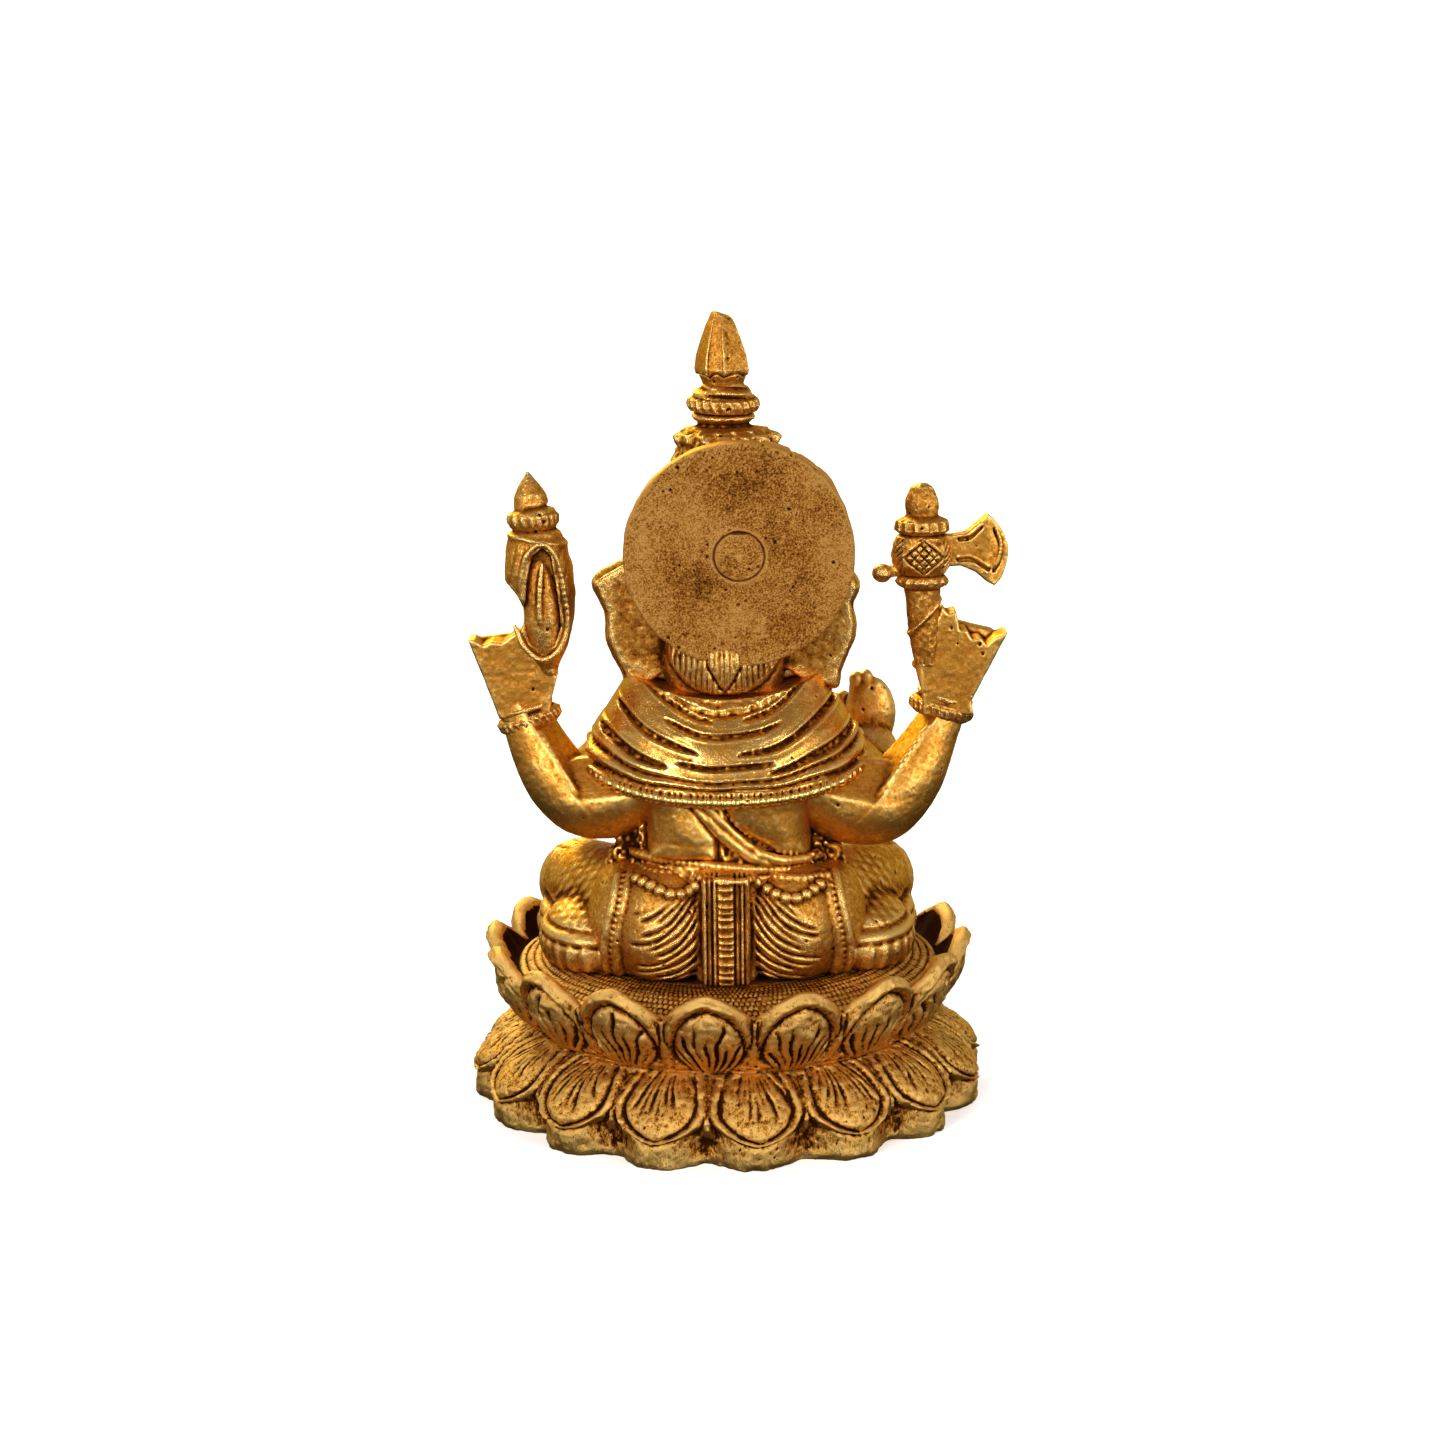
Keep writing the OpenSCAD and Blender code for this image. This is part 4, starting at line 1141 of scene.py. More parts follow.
def crown_collar():
    """The knobbed ring and the fluted collar of the crown."""
    low, high = node_mm("crown_base")
    bud_x, middle_y = crown_middle()
    ring_x = (low[0] + high[0]) / 2
    angle = round_angles(420)[None, :]
    marks = [(120.8, 0.3), (120.8, 10.6), (122.4, 10.9), (124.6, 10.3), (126.6, 9.9), (128.3, 9.4),
             (130.0, 8.9), (130.9, 7.3), (131.4, 4.9), (132.0, 4.8), (132.7, 5.7), (133.2, 6.05),
             (133.7, 5.8), (134.0, 5.4), (134.4, 6.3), (135.4, 6.8), (136.5, 6.6), (137.0, 5.9),
             (137.4, 5.5), (137.9, 5.6), (138.5, 4.6), (139.3, 3.9), (140.0, 3.4), (140.2, 0.3)]
    z, radius = outline_rings(marks, 200, angle)
    turn = np.degrees(angle)
    flutes = ridges(turn + 2.5 * (z - 135), 15.0, 4.2) * smooth(134.0, 134.5, z) * smooth(137.2, 136.6, z)
    twist = np.sin(np.radians(3 * turn) + 3.2 * z) * smooth(136.9, 137.3, z) * smooth(139.2, 138.7, z)
    knobs = 1.3 * ridges(turn + 6, 24.0, 5.0) * bump_at(z, 129.3, 1.2)
    knobs = knobs + 0.9 * ridges(turn + 18, 24.0, 4.0) * bump_at(z, 130.9, 0.6)
    leaves = np.abs(np.sin(np.radians(6 * turn))) * bump_at(z, 124.6, 1.7)
    crest = bump_at(turn - 270, 0, 16) * bump_at(z, 127.5, 3.0)
    place = rings(radius, z, angle)
    rough = 0.30 * noise(place, 0.9, 11) + 0.30 * noise(place, 2.4, 12)
    relief = (0.45 * flutes - 0.2 * (z > 134) * (z < 137) + 0.35 * twist + 1.0 * knobs + 0.7 * leaves
              + 1.6 * crest + rough * (0.35 + smooth(132.6, 130.4, z)))
    radius = radius + relief * smooth(0.3, 2.5, radius)
    middle_x = np.interp(z, [129, 132], [ring_x, bud_x])
    sag = 0.35 * np.sin(np.radians(turn - 200)) * smooth(132, 134, z) * smooth(139, 137, z)
    points = rings(radius, z + sag, angle)
    points[..., 0] += middle_x
    points[..., 1] += middle_y
    ring_piece("crown_collar", points, ["crown_base"], cast, pits=60, seed=33)


def crown_bud():
    """The faceted bud on top of the crown."""
    low, high = node_mm("crown_bud")
    bud_x, middle_y = crown_middle()
    columns, rows = 300, 130
    angle = round_angles(columns)[None, :]
    edges = np.array([-22, 57, 92, 156, 204, 248, 294, 338])
    turn = (np.degrees(angle) + 22) % 360 - 22
    place = np.clip(np.searchsorted(edges, turn, side="right") - 1, 0, len(edges) - 2)
    half, mid = (edges[place + 1] - edges[place]) / 2, (edges[place + 1] + edges[place]) / 2
    facet = np.cos(np.radians(half)) / np.cos(np.radians(turn - mid))
    facet = facet / np.cos(np.radians(half)) ** 0.5
    t = np.linspace(0, 1, rows)[:, None]
    foot, tip = low[2] + 5.4, high[2]
    z = foot + (tip - foot) * np.clip(t / 0.93, 0, 1) + 0 * angle
    marks = [foot, foot + 2.0, foot + 3.0, foot + 5.5, foot + 8.6, foot + 11.4, tip - 0.5, tip]
    blade = np.interp(z, marks, [4.0, 4.9, 5.1, 4.75, 3.75, 2.75, 1.95, 1.6])
    base = np.interp(z, [foot, foot + 0.8, foot + 2.4, tip], [3.8, 4.0, 4.75, 4.9])
    arc = foot + 1.9 + 0.7 * (1 - ((turn - mid) / half) ** 2)
    cover = smooth(-0.12, 0.12, z - arc)
    radius = base + (np.minimum(blade * facet, 1.3 * blade) - base) * cover
    radius = radius - 0.30 * bump_at(z, arc - 0.25, 0.25)
    radius = radius * np.where(t > 0.93, (1 - t) / 0.07, 1) + 0.02
    radius = radius - 0.45 * bump_at(turn, 108 + 3 * (foot + 10 - z), 7) * bump_at(z, foot + 9.6, 0.6)
    radius = radius - 0.35 * bump_at(turn, 103, 4) * bump_at(z, foot + 5.2, 0.32)
    slant = 0.5 * smooth(tip - 1.2, tip, z) * np.cos(np.radians(turn - 20)) * smooth(0.0, 1.2, radius)
    points = rings(radius, z + 0.45 + slant, angle)
    points[..., 0] += bud_x + 0.3 * (z - foot) / (tip - foot)
    points[..., 1] += middle_y
    piece("crown_bud", points.reshape(-1, 3), capped_faces(rows, columns), ["crown_bud"], cast, pits=12,
          seed=34, rough=0.01)


# ---------------------------------------------------------------- rear arms and what they hold

def facing_back(a, b, c):
    """How far each place lies behind the plane through three points, towards the statue's back."""
    a = np.array(a, float)
    normal = np.cross(np.array(b) - a, np.array(c) - a)
    normal *= np.sign(normal[1]) / np.linalg.norm(normal)
    return plane(a, normal)


def rear_arm(name, line, radii, crease, crotch, ridge, inner, tip, seed):
    """One of the raised rear arms: two rounded limbs, each with a flat inner side, mitred at the elbow."""
    line = np.array(line, float)
    low, high = line.min(axis=0) - 9, line.max(axis=0) + 9
    forearm, upper = Clay(low, high, 0.25), Clay(low, high, 0.25)
    tapered(forearm, line[:-1], 22, np.linspace(0, 1, len(line) - 1), radii[:-1], 1.2)
    tapered(upper, line[-3:], 16, [0, 0.5, 1], radii[-3:], 1.2)
    forearm.keep(facing_back(crease, ridge, inner), 0.35)
    upper.keep(facing_back(crease, tip, crotch), 0.35)
    forearm.field = union(forearm.field, upper.field, 0.9)
    edge = curve([np.array(ridge), (np.array(ridge) + crease) / 2 + (0, 0.5, 0), np.array(crease)], 12)
    worm(forearm, edge, 0.35, 0.9)
    points, faces = forearm.mesh()
    points = points + 0.12 * noise(points, 3.5, 41)[:, None] * (0, 1, 0)
    piece(name, points, faces, [name], cast_smooth, pits=14, seed=seed)


def bangle(name, node, centre, lean, seed):
    """A thin plain ring and a thicker fluted one, worn a little askew."""
    angle = round_angles(260)[None, :]
    marks = [(-2.3, 4.6), (-2.3, 5.2), (-1.9, 5.75), (-1.2, 6.15), (0.0, 6.3), (0.7, 5.95), (1.0, 5.35),
             (1.3, 5.25), (1.7, 5.65), (2.2, 5.6), (2.5, 5.1), (2.5, 4.4)]
    z, radius = outline_rings(marks, 46, angle)
    flutes = ridges(np.degrees(angle) + 3 * z, 13.8, 3.6) * smooth(-2.0, -1.4, z) * smooth(0.6, 0.0, z)
    radius = radius + 0.34 * flutes
    radius = radius + 0.14 * noise(rings(radius, z, angle), 1.1, seed)
    tilt = math.radians(lean)
    x, y = 0.97 * radius * np.cos(angle), 0.92 * radius * np.sin(angle)
    points = np.stack([centre[0] + x * math.cos(tilt) + z * math.sin(tilt), centre[1] + y + 0.10 * z,
                       centre[2] + z * math.cos(tilt) - x * math.sin(tilt)], axis=-1)
    ring_piece(name, points, [node], cast, "worn_brass", seed=seed)


def fingers(clay, joints, step):
    """Four fingers, each a rod bent at its middle joint; step is how far each next one's joints move."""
    for number in range(4):
        start, middle, end = np.array(joints) + number * np.array(step)
        clay.add(limb(start, 1.5, middle, 1.35), 0.3)
        clay.add(limb(middle, 1.35, end, 1.2), 0.3)


def left_hand():
    """The flat hand that holds the conch, broken along its top edge."""
    clay = Clay((29, -1, 73), (50.5, 15, 97), 0.2)
    outline = [(43.1, 76.5), (45.3, 82.8), (48.7, 92.0), (47.4, 92.0), (45.9, 90.9), (44.2, 91.6),
               (42.2, 91.4), (39.6, 93.2), (37.2, 93.2), (33.0, 91.5), (31.4, 88.0), (31.9, 84.6),
               (33.2, 80.0), (33.4, 76.5)]
    clay.add(slab(outline, 3.4, 10.2, 0.5), 0.2)
    clay.cut(limb((21.2, 21.6, 70), 16, (20.2, 21.6, 96), 16), 0.25)
    fingers(clay, [(46.4, 4.0, 90.2), (40.0, 1.6, 90.6), (34.6, 2.4, 91.2)],
            [(-0.7, 0, -2.5), (0, 0, -2.7), (0, 0, -2.7)])
    clay.make("left_hand", ["rear_left_hand"], cast_smooth, pits=18, seed=51)


def right_hand():
    """The flat hand that holds the axe, with a jagged, broken upper edge."""
    clay = Clay((-55.5, -1, 74), (-33, 16, 100), 0.2)
    outline = [(-47.4, 76.6), (-47.0, 79.3), (-53.8, 92.6), (-51.4, 91.6), (-49.7, 90.2), (-48.6, 91.6),
               (-47.0, 91.3), (-46.0, 93.0), (-44.6, 93.1), (-44.0, 96.6), (-42.4, 96.2), (-41.2, 97.6),
               (-40.6, 95.6), (-37.6, 91.4), (-36.4, 90.5), (-36.8, 84), (-37.6, 80.8), (-37.8, 76.6)]
    clay.add(slab(outline, 3.4, 11.2, 0.45), 0.2)
    clay.cut(limb((-25.2, 21.4, 74), 16, (-25.0, 21.4, 98), 16), 0.2)
    clay.cut(limb((-41.6, 13.4, 97.4), 1.5, (-36.6, 13.0, 90.2), 1.5), 0.2)
    fingers(clay, [(-50.5, 4.2, 91.0), (-43.6, 2.4, 92.6), (-37.2, 4.4, 93.6)],
            [(0.9, 0, -2.5), (0, 0, -2.6), (0, 0, -2.7)])
    clay.make("right_hand", ["rear_right_hand"], cast_smooth, pits=22, seed=52)


def conch():
    """The conch: a pointed spire, a fluted collar, and a whorl with its long opening."""
    foot, tip = (33.2, 9.9, 86.4), (36.6, 8.2, 123.4)
    clay = Clay((25.5, 0, 83), (43.5, 18.5, 124.6), 0.2)
    profile = np.array([(0, 1.6), (4, 4.0), (9, 5.7), (14, 6.5), (19, 6.6), (23, 5.9), (26, 4.9), (27, 4.4),
                        (28.0, 4.6), (29.0, 4.7), (30.2, 4.3), (30.8, 3.4), (31.6, 3.3), (33.0, 3.1),
                        (35.0, 2.0), (37.2, 0.4)])
    clay.add(spindle(foot, tip, profile[:, 0] / 37.2, profile[:, 1]), 0.2)
    clay.add(egg((37.4, 9.3, 106.0), (3.3, 4.8, 5.4)), 1.0)

    def whorl(x, y, z):
        turn = np.degrees(np.arctan2(y - 9.2, x - 34.9))
        collar = 0.38 * ridges(turn + 2 * z, 22.0, 6.0) * smooth(113.4, 113.9, z) * smooth(116.2, 115.6, z)
        seam = -0.55 * bump_at(z + 0.16 * (x - 35), 117.0, 0.38)
        seam = seam - 0.5 * bump_at(z + 0.05 * (x - 35), 112.9, 0.35)
        ribs = -0.14 * ridges(x + 0.2 * (z - 100), 1.7, 0.3) * smooth(111, 109, z) * smooth(92, 96, z)
        return collar + seam + ribs + 0.4 * bump_at(z - 0.16 * (x - 35), 111.2, 0.45)
    clay.relief((25.5, 0, 88), (43.5, 18.5, 120), whorl)
    clay.cut(limb((43.9, -3, 97.2), 6.3, (43.9, 21, 97.2), 6.3), 0.5)  # the hollow of its outline
    mouth = [(33.8, 110.0), (35.8, 108.4), (36.8, 104), (37.2, 100), (38.6, 96), (37.2, 91.9), (34.4, 89.9),
             (32.0, 91.2), (30.6, 95), (31.2, 102), (32.2, 108.4)]
    clay.cut(slab(mouth, 12.6, 20, 0.3), 0.35)
    clay.add(egg((34.3, 11.6, 97.8), (3.5, 2.9, 10.4), (0, 3, 0)), 0.15)  # the ridge in the opening
    worm(clay, curve([(33.9, 14.0, 107.0), (34.5, 14.7, 101.5), (34.6, 14.6, 96)], 12), 0.3, 0.7)
    brim = [(39.4, 12.6, 95.0), (37.6, 13.4, 91.0), (34.6, 13.8, 88.7), (31.4, 13.8, 90.2), (29.4, 13.6, 95),
            (29.9, 14.6, 102), (31.2, 15.4, 108.2), (33.6, 15.6, 110.8), (36.6, 15.2, 108.8),
            (37.8, 14.6, 104), (37.9, 13.4, 100.4)]
    worm(clay, curve(brim, 60), 0.36, 0.6)
    clay.make("conch", ["conch"], cast, pits=26, seed=53)


def axe_shaft(middle_x, middle_y):
    """The knob, the fluted rings, the cross-hatched drum and the handle of the battle axe."""
    angle = round_angles(300)[None, :]
    marks = [(121.0, 0.02), (120.9, 0.9), (120.3, 1.9), (119.2, 2.6), (117.8, 3.1), (116.4, 3.2),
             (115.4, 3.0), (114.8, 3.1), (114.3, 3.9), (113.8, 4.6), (112.2, 4.9), (111.7, 4.7),
             (111.3, 4.2), (110.9, 4.9), (109.4, 5.6), (107.4, 5.9), (105.6, 5.5), (104.2, 4.6),
             (103.6, 4.1), (103.2, 4.6), (102.5, 4.9), (101.6, 4.6), (101.0, 3.4), (98, 3.2), (94, 3.0),
             (90, 2.7), (86.2, 2.2), (86.0, 0.02)]
    z, radius = outline_rings(marks, 260, angle)
    turn = np.degrees(angle)
    knob = (np.cos(np.radians(36)) / np.cos(np.radians((turn % 72) - 36)) - 0.9) * smooth(114.9, 115.6, z)
    fluted = smooth(111.6, 112.2, z) * smooth(114.6, 114.0, z) + 0.8 * bump_at(z, 102.4, 0.7)
    flutes = ridges(turn, 24.0, 6.0) * fluted
    drum = smooth(103.8, 104.6, z) * smooth(110.9, 110.2, z)
    u, v = np.radians(turn - 90) * 5.7, z - 107.3
    lozenge = np.abs(u) / 3.6 + np.abs(v) / 3.0
    hatch = (ridges(u + v, 1.9, 0.24) * (lozenge < 1) + ridges(u - v, 1.9, 0.24) * (lozenge < 1)
             + bump_at(lozenge, 1.1, 0.09))
    side_hatch = ridges(u - 1.2 * v, 1.5, 0.2) * (np.abs(u) > 4.4) * (np.abs(u) < 7.2)
    far_hatch = (ridges(u + v, 2.1, 0.24) + ridges(u - v, 2.1, 0.24)) * (np.abs(u) > 8.5)
    cuts = np.minimum(hatch + side_hatch + far_hatch, 1) * drum
    band = bump_at(z - 95.4 + 1.05 * radius * np.cos(angle), 0, 0.55) * smooth(101, 100, z)
    radius = radius * (1 + 0.35 * knob) + 0.42 * flutes - 0.42 * cuts + 0.5 * band
    place = rings(radius, z, angle)
    rough = 0.10 * noise(place, 0.8, 61) + 0.12 * noise(place, 2.0, 62)
    radius = radius + rough * smooth(0.0, 1.0, radius)
    lean = 0.055 * np.minimum(z - 101, 0)
    points = np.stack([middle_x + lean + radius * np.cos(angle), middle_y + 0.95 * radius * np.sin(angle), z],
                      axis=-1)
    ring_piece("axe_shaft", points, ["axe_shaft"], cast, pits=30, seed=54)


def axe():
    """The battle axe: its shaft, the small ball on its collar, and the blade."""
    low, high = node_mm("axe_shaft")
    middle_y = (low[1] + high[1]) / 2
    axe_shaft(-37.5, middle_y)

    clay = Clay((-34, 5, 100), (-27, 14, 108), 0.2)
    clay.add(ball((-29.9, middle_y, 103.9), 1.85), 0.2)
    clay.add(limb((-30.5, middle_y, 104.0), 1.0, (-33.6, middle_y, 104.6), 1.3), 0.4)
    clay.make("axe_ball", [], cast, seed=55)

    clay = Clay((-55, 5, 99.5), (-40, 14, 117), 0.17)
    outline = [(-41, 105.2), (-44.7, 105.3), (-47.4, 104.2), (-49.4, 102.4), (-51.1, 101.5), (-52.6, 103.2),
               (-53.6, 106.2), (-53.7, 109.0), (-52.9, 111.4), (-51.2, 113.8), (-49.7, 115.2), (-48.0, 113.6),
               (-45.6, 111.7), (-43.0, 111.2), (-41, 111.2)]
    clay.add(slab(outline, middle_y - 1.7, middle_y + 1.7, 0.45), 0.1)
    slots = ([(-44.4, 110.4), (-46.4, 110.8), (-48.4, 112.6)],
             [(-44.2, 106.5), (-46.8, 106.5), (-49.9, 104.6)],
             [(-51.0, 112.2), (-52.2, 109.0), (-51.9, 106.0), (-50.9, 104.4)])
    for sign in (1, -1):
        face_y = middle_y + sign * 1.7
        clay.cut(flat((-53.6, face_y - sign * 1.0, 108.4), (-0.26, sign * 0.96, 0), 5.4), 0.2)
        for slot in slots:
            path = curve([(x, face_y - sign * (0.1 if x > -50 else 0.55), z) for x, z in slot], 14)
            worm(clay, path, 0.42, 0.1, Clay.cut)
            worm(clay, path + (0, -sign * 0.05, 0.62), 0.3, 0.2)
    clay.make("axe_blade", ["axe_blade"], cast_smooth, "worn_brass", pits=8, seed=56)


# ---------------------------------------------------------------- head and front arms

LEFT_EAR = [(11, 112), (19, 105.6), (22.6, 103.6), (24.6, 102.0), (23.6, 99.4), (22.2, 96.2), (22.2, 91.4),
            (20.8, 88.0), (18.9, 84.5), (18.4, 82.2), (14, 83), (8, 88), (6, 100)]
RIGHT_EAR = [(-11, 112), (-20, 106), (-24.2, 103.0), (-25.6, 100.8), (-24.2, 97.8), (-24.9, 93.3),
             (-24.4, 90.6), (-23.1, 87.6), (-21.9, 84.6), (-21.6, 81.6), (-15, 83), (-8, 88), (-6, 100)]
EAR_FOLDS = ([(21.4, 99.6), (19.6, 94), (18.4, 86.5)], [(18.6, 101), (16.8, 95), (15.8, 88)],
             [(15.4, 102), (14.0, 96), (13.4, 90)])


def ear(clay, side, outline):
    """One spread ear: a wavy plate with a rolled rim and a few soft folds."""
    clay.add(slab(outline, 3.6, 7.6, 0.8), 1.2)
    worm(clay, curve([(0.96 * x, 4.4, z) for x, z in outline[1:10]], 40), 0.7, 1.6)
    thick = 0.25 + 0.6 * np.sin(np.linspace(0, math.pi, 14))
    for fold in EAR_FOLDS:
        worm(clay, curve([(side * x, 3.05, z) for x, z in fold], 14), thick, 0.9, Clay.cut)


def head():
    """The elephant head: trunk, cheeks, eyes, brow band and ears, with combed hair down the back."""
    clay = Clay((-28, -36, 61), (28, 19, 124), 0.36)
    clay.add(egg((0, -2, 106), (15.2, 14.6, 14.8)), 0.3)  # skull
    clay.add(egg((0, -5, 114), (13.2, 11.8, 8.6)), 2)  # crown of the head
    clay.add(egg((0, -9, 98), (11.4, 11, 10.4)), 2)  # root of the trunk
    clay.add(spindle((0, 2.2, 80), (0, 2.0, 100), [0, 0.4, 1], [11.2, 12.0, 13.0]), 1.5)  # neck
    for side in (1, -1):
        clay.add(egg((side * 8.0, -12, 96), (5.6, 6.6, 6.4)), 2)  # cheek
        clay.add(egg((side * 6.4, -13.2, 112.5), (6.6, 5.6, 6.4)), 1.6)  # lobe of the forehead
    trunk = tapered(clay, [(0, -15.5, 102), (0, -22, 95), (0.4, -26, 87), (1.6, -27.4, 79.5),
                           (4, -28.2, 72.6), (7.6, -29.4, 67.6), (11.2, -31.0, 65.0)],
                    60, [0, 0.2, 0.45, 0.7, 1], [7.6, 6.8, 5.6, 4.4, 2.9], 1.4)
    ear(clay, 1, LEFT_EAR)
    ear(clay, -1, RIGHT_EAR)

    def creases(x, y, z):
        mark = along_line(trunk, x, y, z)
        rows = ridges(mark + 0.25 * np.sin(x), 2.7, 0.42)
        return -0.42 * rows * smooth(-15.5, -18.5, y) * smooth(5, 8, mark)
    clay.relief((-9, -37, 62), (17, -14, 104), creases)
    for side in (1, -1):
        eye_turn = (0, side * 16, side * -20)
        clay.cut(egg((side * 9.2, -17.0, 103.6), (2.6, 2.2, 1.5), eye_turn), 0.4)  # socket
        clay.add(egg((side * 9.2, -15.9, 103.4), (1.9, 1.5, 1.0), eye_turn), 0.15)  # eye
        brow = [(side * 6.2, -17.6, 104.2), (side * 9.2, -16.8, 106.0), (side * 12.2, -13.6, 104.6)]
        worm(clay, curve(brow, 16), 0.5, 0.3)
        lid = [(side * 6.4, -18.6, 101.8), (side * 9.2, -17.2, 101.2), (side * 12.0, -14.4, 102.2)]
        worm(clay, curve(lid, 14), 0.4, 0.3)
        clay.add(limb((side * 6.8, -14.6, 94.6), 3.2, (side * 9.0, -19.2, 91.8), 2.7), 1.0)  # tusk's socket
        lip = [(side * 11.0, -19.4, 92.2), (side * 9.6, -21.2, 90.4), (side * 7.6, -20.0, 90.0)]
        worm(clay, curve(lip, 8), 0.45, 0.2)
    clay.add(egg((0, -15, 87.0), (4.6, 5.4, 4.0)), 1.2)  # chin
    clay.cut(egg((0, -20.6, 88.8), (3.4, 2.2, 1.0)), 0.3)  # mouth
    band = circled((0, -4.9, 115.6), (12.9, 0, 0), (0, -12.4, -1.2), np.linspace(-0.5, math.pi + 0.5, 60))
    worm(clay, band, 1.05, 0.4)
    beads(clay, band + (0, 0, 1.9), 0.85, 1.75, 0.2)
    for step, size in enumerate((1.7, 1.2, 0.9)):
        clay.add(ball((0, -18.2 - 0.7 * step, 113.2 - 2.7 * step), size), 0.3)
    clay.add(egg((0, 3.6, 88), (12.2, 12.3, 12.0)), 1.0)  # hair

    def strands(x, y, z):
        bottom = 81.4 + 8.2 * np.clip(np.abs(x) / 11.6, 0, 1.1) ** 3
        at_back = smooth(9.0, 11.5, y)
        on = smooth(0.0, 0.7, z - bottom) * at_back * smooth(96, 94, z)
        leaf = 3.1 * np.clip((z - 82.3) / 5.2, 0, 1) ** 0.8 - np.abs(x)
        lines = ridges(x * (1 + 0.012 * (z - 82)), 1.12, 0.26) * (leaf < -0.2)
        inner = ridges(x, 0.95, 0.24) * (leaf > 0.7)
        rim = bump_at(leaf, -0.05, 0.34)
        hang = 0.9 * on - 0.5 * lines * on - 0.9 * rim * on - 0.4 * inner * on
        return hang - 1.4 * smooth(0.4, -0.2, z - bottom) * at_back * (z < 96)
    clay.relief((-14, 8, 78), (14, 19, 96), strands)

    def skin(x, y, z):
        back = smooth(5, 9, y) * smooth(95, 90, z) * smooth(11.5, 13.5, np.abs(x))
        return 0.10 * back * noise_at(x, y, z, 1.1, 9)
    clay.relief((-26, 3, 78), (26, 14, 98), skin)
    clay.keep(below(123.0), 0.4)
    clay.keep(lambda x, y, z: np.where(y > -12, 80.6, 62) - z + 0 * x, 0.3)
    clay.make("head", ["head"], cast, pits=90, seed=71, rough=0.07)


def tusk(name, side, reach, end_r, lift, chip):
    """A tusk that stands out by reach; lift bends it up, and chip makes a broken end ragged."""
    columns, rows = 48, 40
    angle, t = round_angles(columns)[None, :], np.linspace(0, 1, rows)[:, None]
    way = np.array((side * 0.35, -0.75, -0.56))
    way = way / np.linalg.norm(way)
    root = np.array((side * 8.4, -17, 93.0)) - 3.0 * way
    side_way = np.cross(way, (0, 0, 1.0))
    side_way /= np.linalg.norm(side_way)
    up = np.cross(side_way, way)
    taper = np.interp(t, [0, 0.3, 0.97, 1.0], [2.1, 2.1, end_r, 0.03])
    along = (reach + 3.0) * t + chip * np.sin(3 * angle) * smooth(0.9, 1.0, t)
    points = (root + way * along[..., None] + up * (lift * t ** 2 + taper * np.sin(angle))[..., None]
              + side_way * (taper * np.cos(angle))[..., None])
    piece(name + "_cast", points.reshape(-1, 3), capped_faces(rows, columns), [name], polished,
          "worn_brass", seed=72, rough=0.02)


def front_right_arm():
    """The right arm with its raised palm."""
    clay = Clay((-40, -34, 46), (-10, 4, 84), 0.3)
    line = [(-17, -5, 67.5), (-24, -8.4, 62), (-31.0, -12, 55.6), (-31.2, -15.4, 59.4), (-29.6, -18.8, 64.4)]
    tapered(clay, line, 26, [0, 0.5, 1], [7.4, 6.0, 4.5], 1.0)
    clay.add(egg((-29.4, -20.6, 70.6), (5.2, 2.9, 7.6)), 1.0)  # palm
    for x, top in ((-32.6, 75.0), (-30.9, 77.8), (-28.9, 79.6), (-26.9, 79.2)):
        clay.add(limb((x, -21.0, 70), 1.7, (x + 0.3, -20.6, top - 1.4), 1.45), 0.4)
    clay.add(limb((-25.0, -21.2, 68.0), 1.9, (-24.0, -22.6, 73.6), 1.4), 0.5)  # thumb
    clay.cut(ball((-29.2, -25.0, 70.6), 2.2), 0.6)
    clay.add(ball((-29.2, -23.6, 70.6), 1.1), 0.2)  # the round mark on the palm
    for offset, size in ((0.0, 1.0), (1.9, 0.75)):
        ring = circled((-31.0, -16.6 - 0.4 * offset, 58.6 + offset), (5.4, 0, 1.2), (0, 4.9, 0), FULL_TURN)
        beads(clay, ring, size, 1.5, 0.25)
    clay.keep(lambda x, y, z: x + 11 + 0 * y + 0 * z, 0.3)
    clay.make("front_right_arm_cast", ["front_right_arm"], cast_smooth, pits=30, seed=81)


def front_left_arm():
    """The left arm, whose open hand carries the bowl of sweets."""
    clay = Clay((8, -41, 45), (40, 4, 78), 0.3)
    line = [(17, -5, 67.5), (24, -9, 61.5), (30, -13, 55.4), (26, -19.4, 54.6), (20, -25, 55)]
    tapered(clay, line, 26, [0, 0.5, 1], [7.4, 6.0, 4.0], 1.0)
    clay.add(egg((14.8, -30.4, 54.2), (5.8, 6.4, 2.6), (0, 0, 35)), 1.0)  # palm
    for k in range(4):
        start = np.array((11.6 + 2.0 * k, -33.4 + 1.2 * k, 54.4))
        clay.add(limb(start, 1.5, start + (-3.4 + 0.3 * k, -4.0, 1.6), 1.15), 0.25)
    clay.add(limb((17.6, -31.6, 54.6), 1.7, (19.4, -35.2, 56.8), 1.2), 0.4)  # thumb
    beads(clay, circled((21.4, -23.4, 55), (0, 0, 4.9), (3.2, 3.4, 0), FULL_TURN), 1.0, 1.5, 0.25)
    clay.keep(lambda x, y, z: 11 - x - 3 * (y < -20) + 0 * z, 0.3)
    clay.make("front_left_arm_cast", ["front_left_arm"], cast_smooth, pits=30, seed=82)


